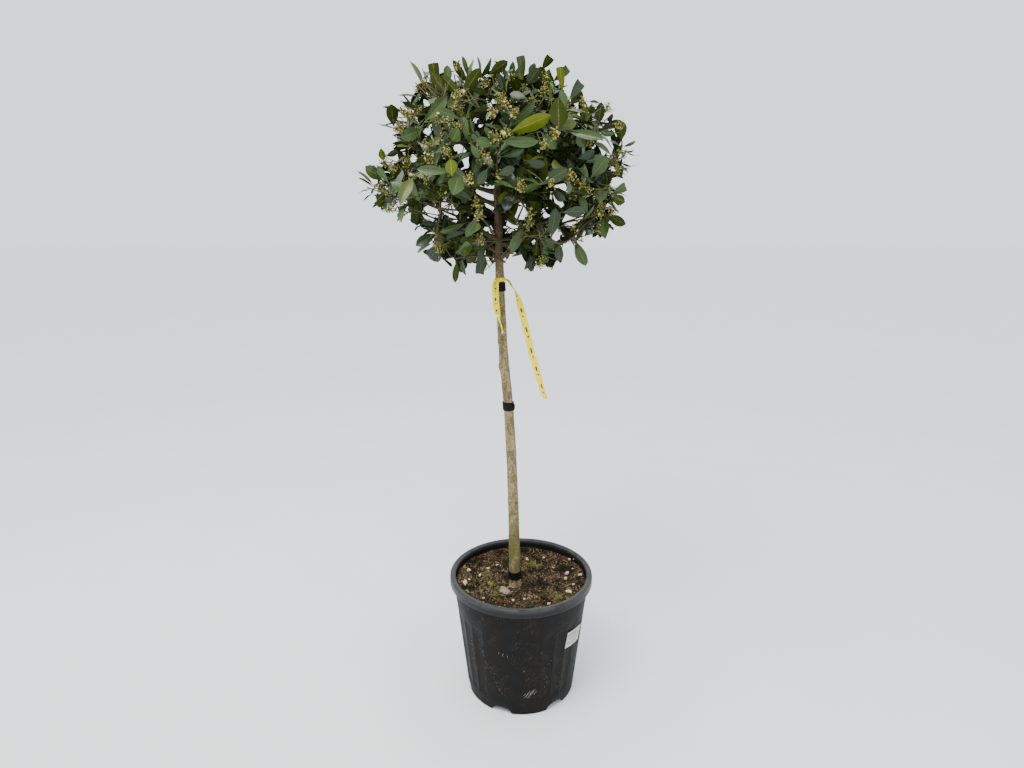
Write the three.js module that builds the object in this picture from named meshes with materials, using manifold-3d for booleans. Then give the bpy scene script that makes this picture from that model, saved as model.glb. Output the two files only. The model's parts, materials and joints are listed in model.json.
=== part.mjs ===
// A holly grown as a half standard: one clear stem carrying a loose round head of evergreen leaves and
// flower buds, in a black nursery pot filled with compost.
// Millimetres, +Z up. The origin is the centre of the pot's underside, and the viewer stands on the -Y side.
import * as THREE from "three";
import { mergeVertices } from "three/addons/utils/BufferGeometryUtils.js";
import Module from "manifold-3d";

const wasm = await Module();
wasm.setup();

const SEAT_GAP = 0.3; // clearance left between pieces that touch
const MASS_GAP = 1; // clearance of each mass of foliage from the plane that parts it from the next
const DEGREE = Math.PI / 180;
const UP = new THREE.Vector3(0, 0, 1);

// The pot: a tapered wall with a rolled rim, a flat underside and drainage arches between its feet.
const POT = {
  height: 351,
  rimRadius: 200,
  rimHeight: 24,
  rimRound: 5,
  mouthRadius: 184.5,
  baseRadius: 152,
  baseRound: 4,
  taper: 0.112, // growth of the wall's radius for each millimetre of height
  wall: 3,
  floor: 4, // thickness of the flat middle of the bottom
  floorRadius: 88,
  shoulder: 20, // height of the bottom's raised ring, over the arches
  shoulderRadius: 105,
  bandStep: 1.5, // the smooth band under the rim stands out by this much
  bandFoot: 273,
  segments: 60,
};
const FLUTES = { zones: 4, perZone: 3, firstBearing: -54, spacing: 12, depth: 2.2, foot: 40, top: 258 };
const ARCHES = { count: 6, firstBearing: -51.5, width: 58, height: 16, reach: 46 };
const COMPOST = { level: 321, edgeDrop: 5, unevenness: 3, sides: 36, gap: 0.6 };
const LABEL = { width: 71, height: 48, thickness: 0.8, bearing: -35.3, centreHeight: 210, tilt: -6 };

// The stem's centre line from the compost to its fork, as points at its real lean.
const STEM_LINE = [
  [-17, -26, 321],
  [-22, -24, 560],
  [-33, -19, 813],
  [-48, -14, 985],
  [-56, -10, 1167],
  [-60, -7, 1320],
  [-62, -5, 1448],
];
const STEM = { footRadius: 16.2, flare: 1.8, flareHeight: 40, topRadius: 11.2, tipRadius: 7.5, sides: 12, rows: 20 };
const CLEAR_STEM_TOP = 1167; // where the head begins, and the stem has tapered to topRadius

// The rubber bands round the stem, and the plastic tape knotted above the highest one.
const BANDS = [
  { name: "stem_band_low", height: 358, width: 21, tilt: 9 },
  { name: "stem_band_middle", height: 841, width: 22, tilt: 0 },
  { name: "stem_band_high", height: 1151, width: 22, tilt: 0 },
];
const BAND_THICKNESS = 2.2;
const TAPE = { width: 17, thickness: 1.2, wrapHeight: 1174, wrapWidth: 13 };
const TAPE_TAIL = [
  [-44.5, -18.6, 1172],
  [-33, -27, 1160],
  [-19, -30, 1132],
  [-4, -31, 1080],
  [9, -31, 1010],
  [33, -30, 939],
  [61, -28, 862],
];
const TAPE_LOOP = [
  [-65.8, -21.7, 1173],
  [-70, -27, 1158],
  [-70, -31, 1138],
  [-64, -32, 1100],
  [-55, -32, 1068],
  [-47, -31, 1036],
];

// The head: a rounded crown about its centre. Its lobes and hollows are set by where they show from the front,
// as an angle counted from +X towards +Z, and fade out towards the front and the back.
const HEAD = {
  centre: new THREE.Vector3(-62, -5, 1422),
  halfWidth: 340,
  halfHeight: 262,
  power: 2.1,
  strayLeaves: 1.02, // how far a leaf's tip may lie out, as a share of the head's reach
};
const LOBES = [
  { angle: 47, swell: -0.09, spread: 13 },
  { angle: 130, swell: 0.13, spread: 7 },
  { angle: 142, swell: -0.08, spread: 6 },
  { angle: 169, swell: -0.2, spread: 7 },
  { angle: 215, swell: -0.24, spread: 10 },
  { angle: 250, swell: 0.14, spread: 9 },
  { angle: 280, swell: -0.17, spread: 8 },
  { angle: 308, swell: 0.1, spread: 7 },
  { angle: 321, swell: -0.14, spread: 6 },
];
// Sprigs that break the outline, and how far their leaves may reach from each.
const SPRIGS = [
  [-346, -30, 1400],
  [-238, -10, 1606],
  [222, -20, 1466],
  [168, -20, 1546],
  [210, -45, 1346],
  [148, -50, 1262],
  [-104, -70, 1246],
].map(point);
const SPRIG_REACH = 84;
// The stem shows under the head, so nothing hangs in front of it below this height.
const WINDOW = { halfWidth: 24, below: 1325 };

// Tiers of boughs. Each bough leaves the stem at its own height and carries one mass of foliage.
const TIERS = [
  { name: "lower", count: 5, firstBearing: -28, step: 61, elevation: -30, leaves: 1224, spacing: 15, girth: 6.4 },
  { name: "middle", count: 6, firstBearing: -92, step: 60, elevation: 6, leaves: 1306, spacing: 15, girth: 6.2 },
  { name: "upper", count: 4, firstBearing: -62, step: 90, elevation: 48, leaves: 1398, spacing: 13, girth: 5.2 },
];
const BOUGH = { massShare: 0.6, reachShare: 0.56, sag: 0.16, tipGirth: 3.9, sides: 5, steps: 3 };
const SHOOTS = { count: 80, lowest: -0.86, leastInset: 56, mostInset: 120 };
const TWIG = {
  girths: [3.6, 2.5, 2.1], // at the root of a mass's stem, of its side twigs, and of theirs
  tipGirth: 1.1,
  firstFork: 0.12,
  lastFork: 0.7,
  forkStep: 0.07,
  turnCost: 1.1,
  runCost: 0.5,
};
const LEAF = {
  count: 5,
  length: 92,
  width: 0.43,
  thickness: 2.6,
  first: 3, // how far the last leaf of a shoot springs from its tip
  spacing: 13,
  sink: 0.5, // how far a root reaches past its twig's axis
  clearRoot: 6, // how much of a root is not counted when leaves are kept apart
  tries: 16, // directions tried for a leaf before it is left out
};
const BLOSSOM = { radius: 13, back: 66, every: 2 };
const GOLDEN_ANGLE = 137.508;

// A number from 0 to 1 that depends only on the whole numbers given, so that every run grows the same plant.
function chance(...keys) {
  let mixed = 0x51ed270b;
  for (const key of keys) {
    mixed = Math.imul(mixed ^ (key + 0x9e3779b9), 0x85ebca6b) >>> 0;
    mixed = (mixed ^ (mixed >>> 13)) >>> 0;
  }
  mixed = Math.imul(mixed, 0xc2b2ae35) >>> 0;
  return ((mixed ^ (mixed >>> 16)) >>> 0) / 4294967296;
}

function point([x, y, z]) {
  return new THREE.Vector3(x, y, z);
}

// A unit vector from a bearing round +Z, counted from +X, and an elevation, both in degrees.
function heading(bearing, elevation = 0) {
  const flat = Math.cos(elevation * DEGREE);
  return new THREE.Vector3(
    flat * Math.cos(bearing * DEGREE),
    flat * Math.sin(bearing * DEGREE),
    Math.sin(elevation * DEGREE),
  );
}

// Two unit vectors square to a direction and to each other.
function squareTo(direction) {
  const guide = Math.abs(direction.z) > 0.95 ? new THREE.Vector3(1, 0, 0) : UP;
  const across = new THREE.Vector3().crossVectors(guide, direction).normalize();
  return [across, new THREE.Vector3().crossVectors(direction, across)];
}

// A closed three.js geometry as a solid that can be cut and joined.
function solidOf(geometry) {
  const shape = geometry.clone();
  shape.deleteAttribute("normal");
  shape.deleteAttribute("uv");
  const merged = mergeVertices(shape, 1e-4);
  return new wasm.Manifold(
    new wasm.Mesh({
      numProp: 3,
      vertProperties: merged.attributes.position.array,
      triVerts: new Uint32Array(merged.index.array),
    }),
  );
}

function geometryOf(solid) {
  const { numProp, numVert, vertProperties, triVerts } = solid.getMesh();
  const positions = new Float32Array(numVert * 3);
  for (let i = 0; i < numVert; i++) positions.set(vertProperties.subarray(i * numProp, i * numProp + 3), i * 3);
  const geometry = new THREE.BufferGeometry();
  geometry.setAttribute("position", new THREE.BufferAttribute(positions, 3));
  geometry.setIndex(new THREE.BufferAttribute(new Uint32Array(triVerts), 1));
  geometry.computeVertexNormals();
  return geometry;
}

function named(name, geometry, material) {
  const mesh = new THREE.Mesh(geometry, material);
  mesh.name = name;
  return mesh;
}

// Moves every vertex of a geometry by a function that changes the vector it is given.
function reshape(geometry, move) {
  const positions = geometry.attributes.position;
  const vertex = new THREE.Vector3();
  for (let i = 0; i < positions.count; i++) {
    vertex.fromBufferAttribute(positions, i);
    move(vertex);
    positions.setXYZ(i, vertex.x, vertex.y, vertex.z);
  }
  return geometry;
}

// A solid turned about +Z. The profile gives radius and height, from its lowest outer point upwards and round.
function turned(profile, segments) {
  const outline = profile.map(([radius, height]) => new THREE.Vector2(radius, height));
  return new THREE.LatheGeometry(outline, segments).rotateX(Math.PI / 2);
}

// A limb of round section that tapers along a curve.
function taperedLimb(path, startRadius, endRadius, sides, steps) {
  const frames = path.computeFrenetFrames(steps, false);
  const limb = new THREE.CylinderGeometry(1, 1, 1, sides, steps);
  return reshape(limb, (vertex) => {
    const row = Math.round((vertex.y + 0.5) * steps);
    const radius = THREE.MathUtils.lerp(startRadius, endRadius, row / steps);
    const { x, z } = vertex;
    vertex.copy(path.getPointAt(row / steps));
    vertex.addScaledVector(frames.normals[row], x * radius);
    vertex.addScaledVector(frames.binormals[row], -z * radius);
  });
}

const finish = (color, roughness) => new THREE.MeshStandardMaterial({ color, roughness, metalness: 0 });
const MATERIALS = {
  plastic: finish(0x2b2b2a, 0.55),
  compost: finish(0x4a4030, 0.95),
  bark: finish(0x9c8c6a, 0.85),
  bough: finish(0x5b4f38, 0.85),
  foliage: finish(0x47563a, 0.4),
  band: finish(0x171717, 0.7),
  tape: finish(0xe6d86c, 0.4),
  label: finish(0xe8e7e5, 0.6),
};

// Pot

const wallRadius = (height) => POT.baseRadius + POT.taper * height;
const insideRadius = (height) => wallRadius(height) - POT.wall;

// The inside of the pot's bottom and wall from the middle of its floor to the foot of its rim, drawn in by a gap.
function potInside(gap = 0) {
  const { floor, floorRadius, shoulder, shoulderRadius, height, rimHeight } = POT;
  return [
    [0, floor + gap],
    [floorRadius - gap, floor + gap],
    [shoulderRadius - gap, shoulder + gap],
    [insideRadius(shoulder) - gap, shoulder + gap],
    [insideRadius(height - rimHeight) - gap, height - rimHeight],
  ];
}

// How far a flute sinks into the wall at a bearing in degrees, as a share of its depth.
function fluteShare(bearing) {
  const zone = 360 / FLUTES.zones;
  const fromZone = THREE.MathUtils.euclideanModulo(bearing - FLUTES.firstBearing + zone / 2, zone) - zone / 2;
  const reach = ((FLUTES.perZone - 1) / 2) * FLUTES.spacing;
  const nearest = THREE.MathUtils.clamp(Math.round(fromZone / FLUTES.spacing) * FLUTES.spacing, -reach, reach);
  return Math.max(0, 1 - (2 * Math.abs(fromZone - nearest)) / FLUTES.spacing);
}

function buildPot() {
  const { height, rimRadius, rimHeight, rimRound, mouthRadius, baseRound, bandStep, bandFoot } = POT;
  const rimFoot = height - rimHeight;
  const outer = [
    [wallRadius(0) - baseRound, 0],
    [wallRadius(baseRound), baseRound],
    [wallRadius(FLUTES.foot), FLUTES.foot],
    [wallRadius(FLUTES.top), FLUTES.top],
    [wallRadius(bandFoot), bandFoot],
    [wallRadius(bandFoot) + bandStep, bandFoot + bandStep],
    [wallRadius(rimFoot) + bandStep, rimFoot],
  ];
  const rim = [
    [rimRadius - 1, rimFoot],
    [rimRadius, rimFoot + rimRound],
    [rimRadius, height - rimRound],
    [rimRadius - rimRound, height],
    [mouthRadius, height - 1],
  ];
  const inner = potInside().reverse();
  const shell = turned([[0, 0], ...outer, ...rim, ...inner], POT.segments);
  shell.rotateZ(FLUTES.firstBearing * DEGREE);
  const isFluted = (vertex) => {
    const inFlute = vertex.z > FLUTES.foot - 1 && vertex.z < FLUTES.top + 1;
    return inFlute && Math.hypot(vertex.x, vertex.y) > wallRadius(vertex.z) - 1;
  };
  reshape(shell, (vertex) => {
    if (!isFluted(vertex)) return;
    const bearing = Math.atan2(vertex.y, vertex.x) / DEGREE;
    const radius = Math.hypot(vertex.x, vertex.y);
    const sunk = (radius - FLUTES.depth * fluteShare(bearing)) / radius;
    vertex.x *= sunk;
    vertex.y *= sunk;
  });
  const arches = [];
  for (let i = 0; i < ARCHES.count; i++) arches.push(archCutter(ARCHES.firstBearing + 60 + (i * 360) / ARCHES.count));
  return geometryOf(solidOf(shell).subtract(wasm.Manifold.union(arches)));
}

// The half oval that cuts one drainage arch out of the pot's foot ring.
function archCutter(bearing) {
  const arch = new THREE.Shape();
  arch.absellipse(0, 0, ARCHES.width / 2, ARCHES.height, 0, Math.PI, false);
  arch.lineTo(-ARCHES.width / 2, -1);
  arch.lineTo(ARCHES.width / 2, -1);
  const length = ARCHES.reach + 20;
  const cutter = new THREE.ExtrudeGeometry(arch, { depth: length, bevelEnabled: false, curveSegments: 10 });
  cutter.rotateX(Math.PI / 2).rotateZ(Math.PI / 2);
  cutter.translate(wallRadius(0) - ARCHES.reach, 0, 0);
  return solidOf(cutter.rotateZ(bearing * DEGREE));
}

function buildCompost() {
  const { level, edgeDrop, sides } = COMPOST;
  const edge = level - edgeDrop;
  const profile = [
    ...potInside(COMPOST.gap).slice(0, -1),
    [insideRadius(edge) - COMPOST.gap, edge],
    [insideRadius(edge) * 0.72, level],
    [insideRadius(edge) * 0.4, level],
    [40, level],
    [0, level],
  ];
  const heap = turned(profile, sides);
  return reshape(heap, (vertex) => {
    const radius = Math.hypot(vertex.x, vertex.y);
    if (vertex.z < level - 1 || radius < 50) return;
    const bearing = Math.round(Math.atan2(vertex.y, vertex.x) / DEGREE);
    vertex.z -= COMPOST.unevenness * chance(Math.round(radius), (bearing + 360) % 360);
  });
}

// A thin plate bent to the pot's wall.
function buildLabel() {
  const plate = new THREE.BoxGeometry(LABEL.width, LABEL.height, LABEL.thickness, 8, 1, 1);
  plate.rotateZ(LABEL.tilt * DEGREE);
  return reshape(plate, (vertex) => {
    const height = LABEL.centreHeight + vertex.y;
    const lift = SEAT_GAP + 0.2 + LABEL.thickness / 2 + vertex.z;
    const radius = wallRadius(height) + lift;
    const bearing = LABEL.bearing * DEGREE + vertex.x / wallRadius(LABEL.centreHeight);
    vertex.set(radius * Math.cos(bearing), radius * Math.sin(bearing), height);
  });
}

// Stem and boughs

const stemLine = new THREE.CatmullRomCurve3(STEM_LINE.map(point), false, "catmullrom", 0.5);
const STEM_FOOT = STEM_LINE[0][2];
const STEM_TIP = STEM_LINE[STEM_LINE.length - 1][2];

// The stem's centre at a height, found by halving, because the line only rises.
function stemAt(height) {
  let low = 0;
  let high = 1;
  for (let i = 0; i < 40; i++) {
    const middle = (low + high) / 2;
    if (stemLine.getPoint(middle).z < height) low = middle;
    else high = middle;
  }
  return stemLine.getPoint(low);
}

function stemRadius(height) {
  const { footRadius, flare, flareHeight, topRadius, tipRadius } = STEM;
  const flared = flare * Math.max(0, 1 - (height - STEM_FOOT) / flareHeight) ** 2;
  if (height < CLEAR_STEM_TOP) {
    const share = (height - STEM_FOOT) / (CLEAR_STEM_TOP - STEM_FOOT);
    return THREE.MathUtils.lerp(footRadius, topRadius, share ** 0.8) + flared;
  }
  return THREE.MathUtils.lerp(topRadius, tipRadius, (height - CLEAR_STEM_TOP) / (STEM_TIP - CLEAR_STEM_TOP));
}

// The stem's solid, or one that stands out all round by an allowance, which cuts its neighbours clear.
function buildStem(allowance = 0) {
  const bottom = STEM_FOOT + SEAT_GAP - allowance;
  const top = STEM_TIP + allowance;
  const profile = [[0, bottom]];
  for (let row = 0; row <= STEM.rows; row++) {
    const height = THREE.MathUtils.lerp(bottom, top, (row / STEM.rows) ** 1.5);
    profile.push([stemRadius(Math.max(height, STEM_FOOT)) + allowance, height]);
  }
  profile.push([0, top]);
  return reshape(turned(profile, STEM.sides), (vertex) => {
    const centre = stemAt(THREE.MathUtils.clamp(vertex.z, STEM_FOOT, STEM_TIP));
    vertex.x += centre.x;
    vertex.y += centre.y;
  });
}

// The head's reach from its centre in a direction: a rounded oval with its lobes and hollows.
function headReach(direction) {
  const { halfWidth, halfHeight, power } = HEAD;
  const flat = Math.hypot(direction.x, direction.y) / halfWidth;
  const oval = (flat ** power + Math.abs(direction.z / halfHeight) ** power) ** (-1 / power);
  const sideways = direction.x ** 2 + direction.z ** 2;
  const angle = Math.atan2(direction.z, direction.x) / DEGREE;
  let swell = 1;
  for (const lobe of LOBES) {
    const apart = THREE.MathUtils.euclideanModulo(angle - lobe.angle + 180, 360) - 180;
    swell += lobe.swell * sideways * Math.exp(-((apart / lobe.spread) ** 2));
  }
  return oval * swell;
}

function inHead(spot) {
  const out = spot.clone().sub(HEAD.centre);
  const distance = out.length();
  if (distance < 1 || distance <= headReach(out.normalize()) * HEAD.strayLeaves) return true;
  return SPRIGS.some((sprig) => spot.distanceTo(sprig) < SPRIG_REACH);
}

function inWindow(spot) {
  if (spot.z > WINDOW.below || spot.z < CLEAR_STEM_TOP - 100) return false;
  const stem = stemAt(spot.z);
  return spot.y < stem.y && Math.abs(spot.x - stem.x) < WINDOW.halfWidth;
}

// Every mass with its middle, and the bough that carries it from the stem to where the mass's own stem begins.
function layOutMasses() {
  const masses = [];
  for (const tier of TIERS) {
    for (let i = 0; i < tier.count; i++) {
      const direction = heading(tier.firstBearing + i * tier.step, tier.elevation);
      const middle = direction.clone().multiplyScalar(BOUGH.massShare * headReach(direction)).add(HEAD.centre);
      const order = (i * 2) % tier.count + (tier.count % 2 === 0 && i * 2 >= tier.count ? 1 : 0);
      const root = stemAt(tier.leaves + order * tier.spacing);
      masses.push({ name: `${tier.name}_${i + 1}`, middle, root, girth: tier.girth, path: boughPath(root, middle) });
    }
  }
  const above = HEAD.centre.clone().addScaledVector(UP, BOUGH.massShare * headReach(UP));
  const tip = stemAt(STEM_TIP);
  masses.push({ name: "top", middle: above, root: tip, girth: STEM.tipRadius * 0.85, path: leaderPath(tip, above) });
  return masses;
}

// A bough leaves the stem outwards, sags a little and turns up towards its mass.
function boughPath(root, middle) {
  const tip = root.clone().lerp(middle, BOUGH.reachShare);
  const bend = root.clone().lerp(tip, 0.5);
  bend.z -= BOUGH.sag * root.distanceTo(tip);
  return new THREE.QuadraticBezierCurve3(root, bend, tip);
}

// The leader goes on from the stem's tip, which it meets end to end.
function leaderPath(tip, above) {
  const start = tip.clone().addScaledVector(UP, SEAT_GAP);
  const end = start.clone().lerp(above, 0.4);
  return new THREE.QuadraticBezierCurve3(start, start.clone().lerp(end, 0.5), end);
}

// Twigs, leaves and flower buds

// One mass's twigs: the first goes on from its bough to the tip that lies most nearly ahead, and each other
// tip, the nearest first, is joined to the place on a grown twig from which it is reached most naturally.
function growTwigs(mass, tips) {
  const forward = mass.path.getTangentAt(1);
  const start = mass.path.getPointAt(1).addScaledVector(forward, -TWIG.girths[0]);
  const detour = (tip) => -tip.spot.clone().sub(start).dot(forward);
  const [leader] = [...tips].sort((a, b) => detour(a) - detour(b));
  const others = tips.filter((tip) => tip !== leader);
  others.sort((a, b) => a.spot.distanceTo(start) - b.spot.distanceTo(start));
  const twigs = [{ from: start, to: leader.spot, number: leader.number, girth: TWIG.girths[0], order: 0, run: 0 }];
  for (const tip of others) {
    const { twig, share } = bestFork(twigs, tip.spot);
    const order = Math.min(twig.order + 1, TWIG.girths.length - 1);
    const from = twig.from.clone().lerp(twig.to, share);
    const run = twig.run + share * twig.from.distanceTo(twig.to);
    twigs.push({ from, to: tip.spot, number: tip.number, girth: TWIG.girths[order], order, run });
  }
  return twigs;
}

// The fork that reaches a spot by a short way, without a sharp turn.
function bestFork(twigs, spot) {
  let best = { cost: Infinity };
  for (const twig of twigs) {
    const along = twig.to.clone().sub(twig.from);
    for (let share = TWIG.firstFork; share < TWIG.lastFork; share += TWIG.forkStep) {
      const branch = spot.clone().sub(twig.from.clone().addScaledVector(along, share));
      const turn = 1 - branch.dot(along) / (branch.length() * along.length());
      const cost = branch.length() * (1 + TWIG.turnCost * turn) + TWIG.runCost * (twig.run + share * along.length());
      if (cost < best.cost) best = { cost, twig, share };
    }
  }
  return best;
}

// Shoot tips spread evenly over the head by the golden angle, each given to the mass nearest to it.
function spreadShoots(masses) {
  const groups = masses.map(() => []);
  SPRIGS.forEach((spot, i) => groups[nearestMass(masses, spot)].push({ spot, number: SHOOTS.count + i }));
  for (let number = 0; number < SHOOTS.count; number++) {
    const rise = THREE.MathUtils.lerp(0.995, SHOOTS.lowest, number / (SHOOTS.count - 1));
    const direction = heading(number * GOLDEN_ANGLE, Math.asin(rise) / DEGREE);
    const inset = THREE.MathUtils.lerp(SHOOTS.leastInset, SHOOTS.mostInset, chance(number, 1) ** 1.5);
    const spot = direction.multiplyScalar(headReach(direction) - inset).add(HEAD.centre);
    if (inWindow(spot)) continue;
    groups[nearestMass(masses, spot)].push({ spot, number });
  }
  return groups;
}

function nearestMass(masses, spot) {
  let best = 0;
  masses.forEach((mass, i) => {
    if (spot.distanceToSquared(mass.middle) < spot.distanceToSquared(masses[best].middle)) best = i;
  });
  return best;
}

// True where a spot lies in a mass's own space, by a clearance, and inside the head.
function inOwnSpace(masses, mass, spot) {
  if (!inHead(spot) || inWindow(spot)) return false;
  return masses.every((other) => {
    if (other === mass) return true;
    const between = other.middle.clone().sub(mass.middle);
    const share = spot.clone().sub(mass.middle).dot(between) / between.lengthSq();
    return share * between.length() < between.length() / 2 - MASS_GAP;
  });
}

// A leaf's frame: where it springs from, and its directions along, across and out of its upper face.
function leafFrame(shoot, index, attempt) {
  const along = shoot.to.clone().sub(shoot.from);
  const length = along.length();
  along.normalize();
  const back = Math.min(LEAF.first + index * LEAF.spacing, length * 0.85);
  const base = shoot.to.clone().addScaledVector(along, -back);
  const turn = (GOLDEN_ANGLE * index + 360 * chance(shoot.number, 7) + attempt * 67) * DEGREE;
  const [across, over] = squareTo(along);
  const side = across.clone().multiplyScalar(Math.cos(turn)).addScaledVector(over, Math.sin(turn));
  const lean = (24 + 9 * index + 16 * chance(shoot.number, index, 3)) * DEGREE;
  const forward = along.clone().multiplyScalar(Math.cos(lean)).addScaledVector(side, Math.sin(lean));
  const face = along.clone().multiplyScalar(Math.sin(lean)).addScaledVector(side, -Math.cos(lean));
  const size = LEAF.length * (0.82 + 0.36 * chance(shoot.number, index, 4));
  return { base, forward, face, breadth: new THREE.Vector3().crossVectors(face, forward), size };
}

// A spot on a leaf: a share along its length, a share of its half width, and a height over its flat underside.
function onLeaf(leaf, along, across, lift = 0) {
  return leaf.base
    .clone()
    .addScaledVector(leaf.forward, along * leaf.size)
    .addScaledVector(leaf.breadth, (across * leaf.size * LEAF.width) / 2)
    .addScaledVector(leaf.face, lift);
}

// A leaf with a ridged upper side and a flat underside. Its root is shifted along it, into its twig or clear of it.
function leafSolid(leaf, rootShift) {
  const root = leaf.base.clone().addScaledVector(leaf.forward, rootShift);
  const ridge = onLeaf(leaf, 0.5, 0, LEAF.thickness);
  const corners = [root, onLeaf(leaf, 0.5, -1), onLeaf(leaf, 1, 0), onLeaf(leaf, 0.5, 1), ridge];
  const blade = new THREE.BufferGeometry().setFromPoints(corners);
  blade.setIndex([0, 1, 4, 1, 2, 4, 2, 3, 4, 3, 0, 4, 0, 2, 1, 0, 3, 2]);
  return solidOf(blade);
}

const LEAF_PROBES = [0.3, 0.5, 0.7, 0.85, 1].flatMap((along) => [-1, 0, 1].map((across) => [along, across]));

function leafFits(leaf, fitsAt) {
  return LEAF_PROBES.every(([along, across]) => {
    const breadth = Math.min(1, 2.1 * Math.min(along, 1.02 - along));
    return fitsAt(onLeaf(leaf, along, across * breadth), 7);
  });
}

// A three-sided twig that tapers from inside its parent to its tip.
function twigSolid(twig) {
  const along = twig.to.clone().sub(twig.from);
  const length = along.length();
  const prism = new THREE.CylinderGeometry(TWIG.tipGirth, twig.girth, length, 3, 1);
  prism.translate(0, length / 2, 0);
  prism.applyQuaternion(new THREE.Quaternion().setFromUnitVectors(new THREE.Vector3(0, 1, 0), along.normalize()));
  prism.translate(twig.from.x, twig.from.y, twig.from.z);
  return solidOf(prism);
}

function blossomCentre(shoot) {
  const along = shoot.from.clone().sub(shoot.to).normalize();
  return shoot.to.clone().addScaledVector(along, Math.min(BLOSSOM.back, 0.8 * shoot.to.distanceTo(shoot.from)));
}

// A cluster of flower buds round a shoot, as one knobbly ball.
function blossomSolid(shoot) {
  const ball = new THREE.OctahedronGeometry(BLOSSOM.radius, 0);
  ball.rotateZ(360 * chance(shoot.number, 11) * DEGREE);
  const centre = blossomCentre(shoot);
  return solidOf(ball.translate(centre.x, centre.y, centre.z));
}

// One mass as one solid: its twigs with leaves and flower buds fused to them. What would leave the mass's own
// space, or touch a limb or another leaf, is left out.
function growMass(masses, mass, tips, limbClearance) {
  const fitsAt = (spot, clearance) => inOwnSpace(masses, mass, spot) && limbClearance(spot) > clearance;
  const twigs = growTwigs(mass, tips);
  const twigSolids = twigs.map(twigSolid);
  const forward = mass.path.getTangentAt(1);
  twigSolids[0] = twigSolids[0].trimByPlane(forward.toArray(), mass.path.getPointAt(1).dot(forward) + SEAT_GAP);
  const grown = [...twigSolids];
  const leaves = [];
  const isClear = (solid) => grown.every((other) => other.intersect(solid).isEmpty());
  for (const twig of twigs) {
    for (let index = 0; index < LEAF.count; index++) {
      const leaf = placeLeaf(twig, index, fitsAt, isClear);
      if (!leaf) continue;
      leaves.push(leafSolid(leaf, -LEAF.sink));
      grown.push(leafSolid(leaf, LEAF.clearRoot));
    }
  }
  const blossoms = twigs
    .filter((twig) => twig.number % BLOSSOM.every === 0 && fitsAt(blossomCentre(twig), BLOSSOM.radius * 1.3))
    .map(blossomSolid)
    .filter((knob) => leaves.every((leaf) => leaf.intersect(knob).isEmpty()));
  const pieces = [...twigSolids, ...leaves, ...blossoms];
  return largest(wasm.Manifold.union(pieces).simplify(0.05));
}

// The first of a few directions in which a leaf fits, or nothing.
function placeLeaf(twig, index, fitsAt, isClear) {
  for (let attempt = 0; attempt < LEAF.tries; attempt++) {
    const leaf = leafFrame(twig, index, attempt);
    if (leafFits(leaf, fitsAt) && isClear(leafSolid(leaf, LEAF.clearRoot))) return leaf;
  }
  return null;
}

// The largest separate body of a solid, without loose scraps.
function largest(solid) {
  return solid.decompose().reduce((best, body) => (body.volume() > best.volume() ? body : best));
}

// How far a spot is from the surface of the nearest limb, measured to short straight lengths of each.
function limbClearanceOf(masses) {
  const lengths = [];
  const add = (from, to, radius) => lengths.push({ line: new THREE.Line3(from, to), radius });
  for (let height = CLEAR_STEM_TOP - 100; height < STEM_TIP; height += 20) {
    add(stemAt(height), stemAt(Math.min(height + 20, STEM_TIP)), stemRadius(height));
  }
  for (const mass of masses) {
    for (let i = 0; i < 6; i++) add(mass.path.getPointAt(i / 6), mass.path.getPointAt((i + 1) / 6), mass.girth);
  }
  const nearest = new THREE.Vector3();
  return (spot) =>
    lengths.reduce((least, { line, radius }) => {
      line.closestPointToPoint(spot, true, nearest);
      return Math.min(least, nearest.distanceTo(spot) - radius);
    }, Infinity);
}

// Bands and tape

const COLLAR_SIDES = 16;
const COLLAR_FLAT = Math.cos(Math.PI / COLLAR_SIDES);

// A collar round the stem at a height, which follows the stem's lean and taper. Its profile gives the distance
// from the stem's surface and the height above its own middle, and its flats keep clear of the stem.
function collar(profile, height, tilt = 0) {
  const ring = profile.map(([out, rise]) => [(stemRadius(height) + SEAT_GAP) / COLLAR_FLAT + 0.2 + out, rise]);
  return reshape(turned([...ring, ring[0]], COLLAR_SIDES), (vertex) => {
    vertex.z += height + Math.tan(tilt * DEGREE) * vertex.y;
    const radius = Math.hypot(vertex.x, vertex.y);
    const fitted = (radius + (stemRadius(vertex.z) - stemRadius(height)) / COLLAR_FLAT) / radius;
    const centre = stemAt(vertex.z);
    vertex.x = vertex.x * fitted + centre.x;
    vertex.y = vertex.y * fitted + centre.y;
  });
}

function buildBand({ height, width, tilt }) {
  const half = width / 2;
  const profile = [
    [0, -half],
    [BAND_THICKNESS, -half],
    [BAND_THICKNESS, half],
    [0, half],
  ];
  return collar(profile, height, tilt);
}

// A strip of tape along a smooth curve, its width turned slowly about the curve.
function tapeStrip(points, startTurn, endTurn) {
  const path = new THREE.CatmullRomCurve3(points.map(point));
  const steps = (points.length - 1) * 3;
  const strip = new THREE.BoxGeometry(TAPE.width, steps, TAPE.thickness, 1, steps, 1);
  return reshape(strip, (vertex) => {
    const share = (vertex.y + steps / 2) / steps;
    const turn = THREE.MathUtils.lerp(startTurn, endTurn, share) * DEGREE;
    const forward = path.getTangentAt(share);
    const flat = heading(turn / DEGREE).projectOnPlane(forward).normalize();
    const out = new THREE.Vector3().crossVectors(flat, forward);
    const { x, z } = vertex;
    vertex.copy(path.getPointAt(share)).addScaledVector(flat, x).addScaledVector(out, z);
  });
}

function buildTapeWrap() {
  const half = TAPE.wrapWidth / 2;
  const profile = [
    [0, -half],
    [1.4, -half],
    [2.2, 0],
    [1.4, half],
    [0, half],
  ];
  return collar(profile, TAPE.wrapHeight);
}

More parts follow.
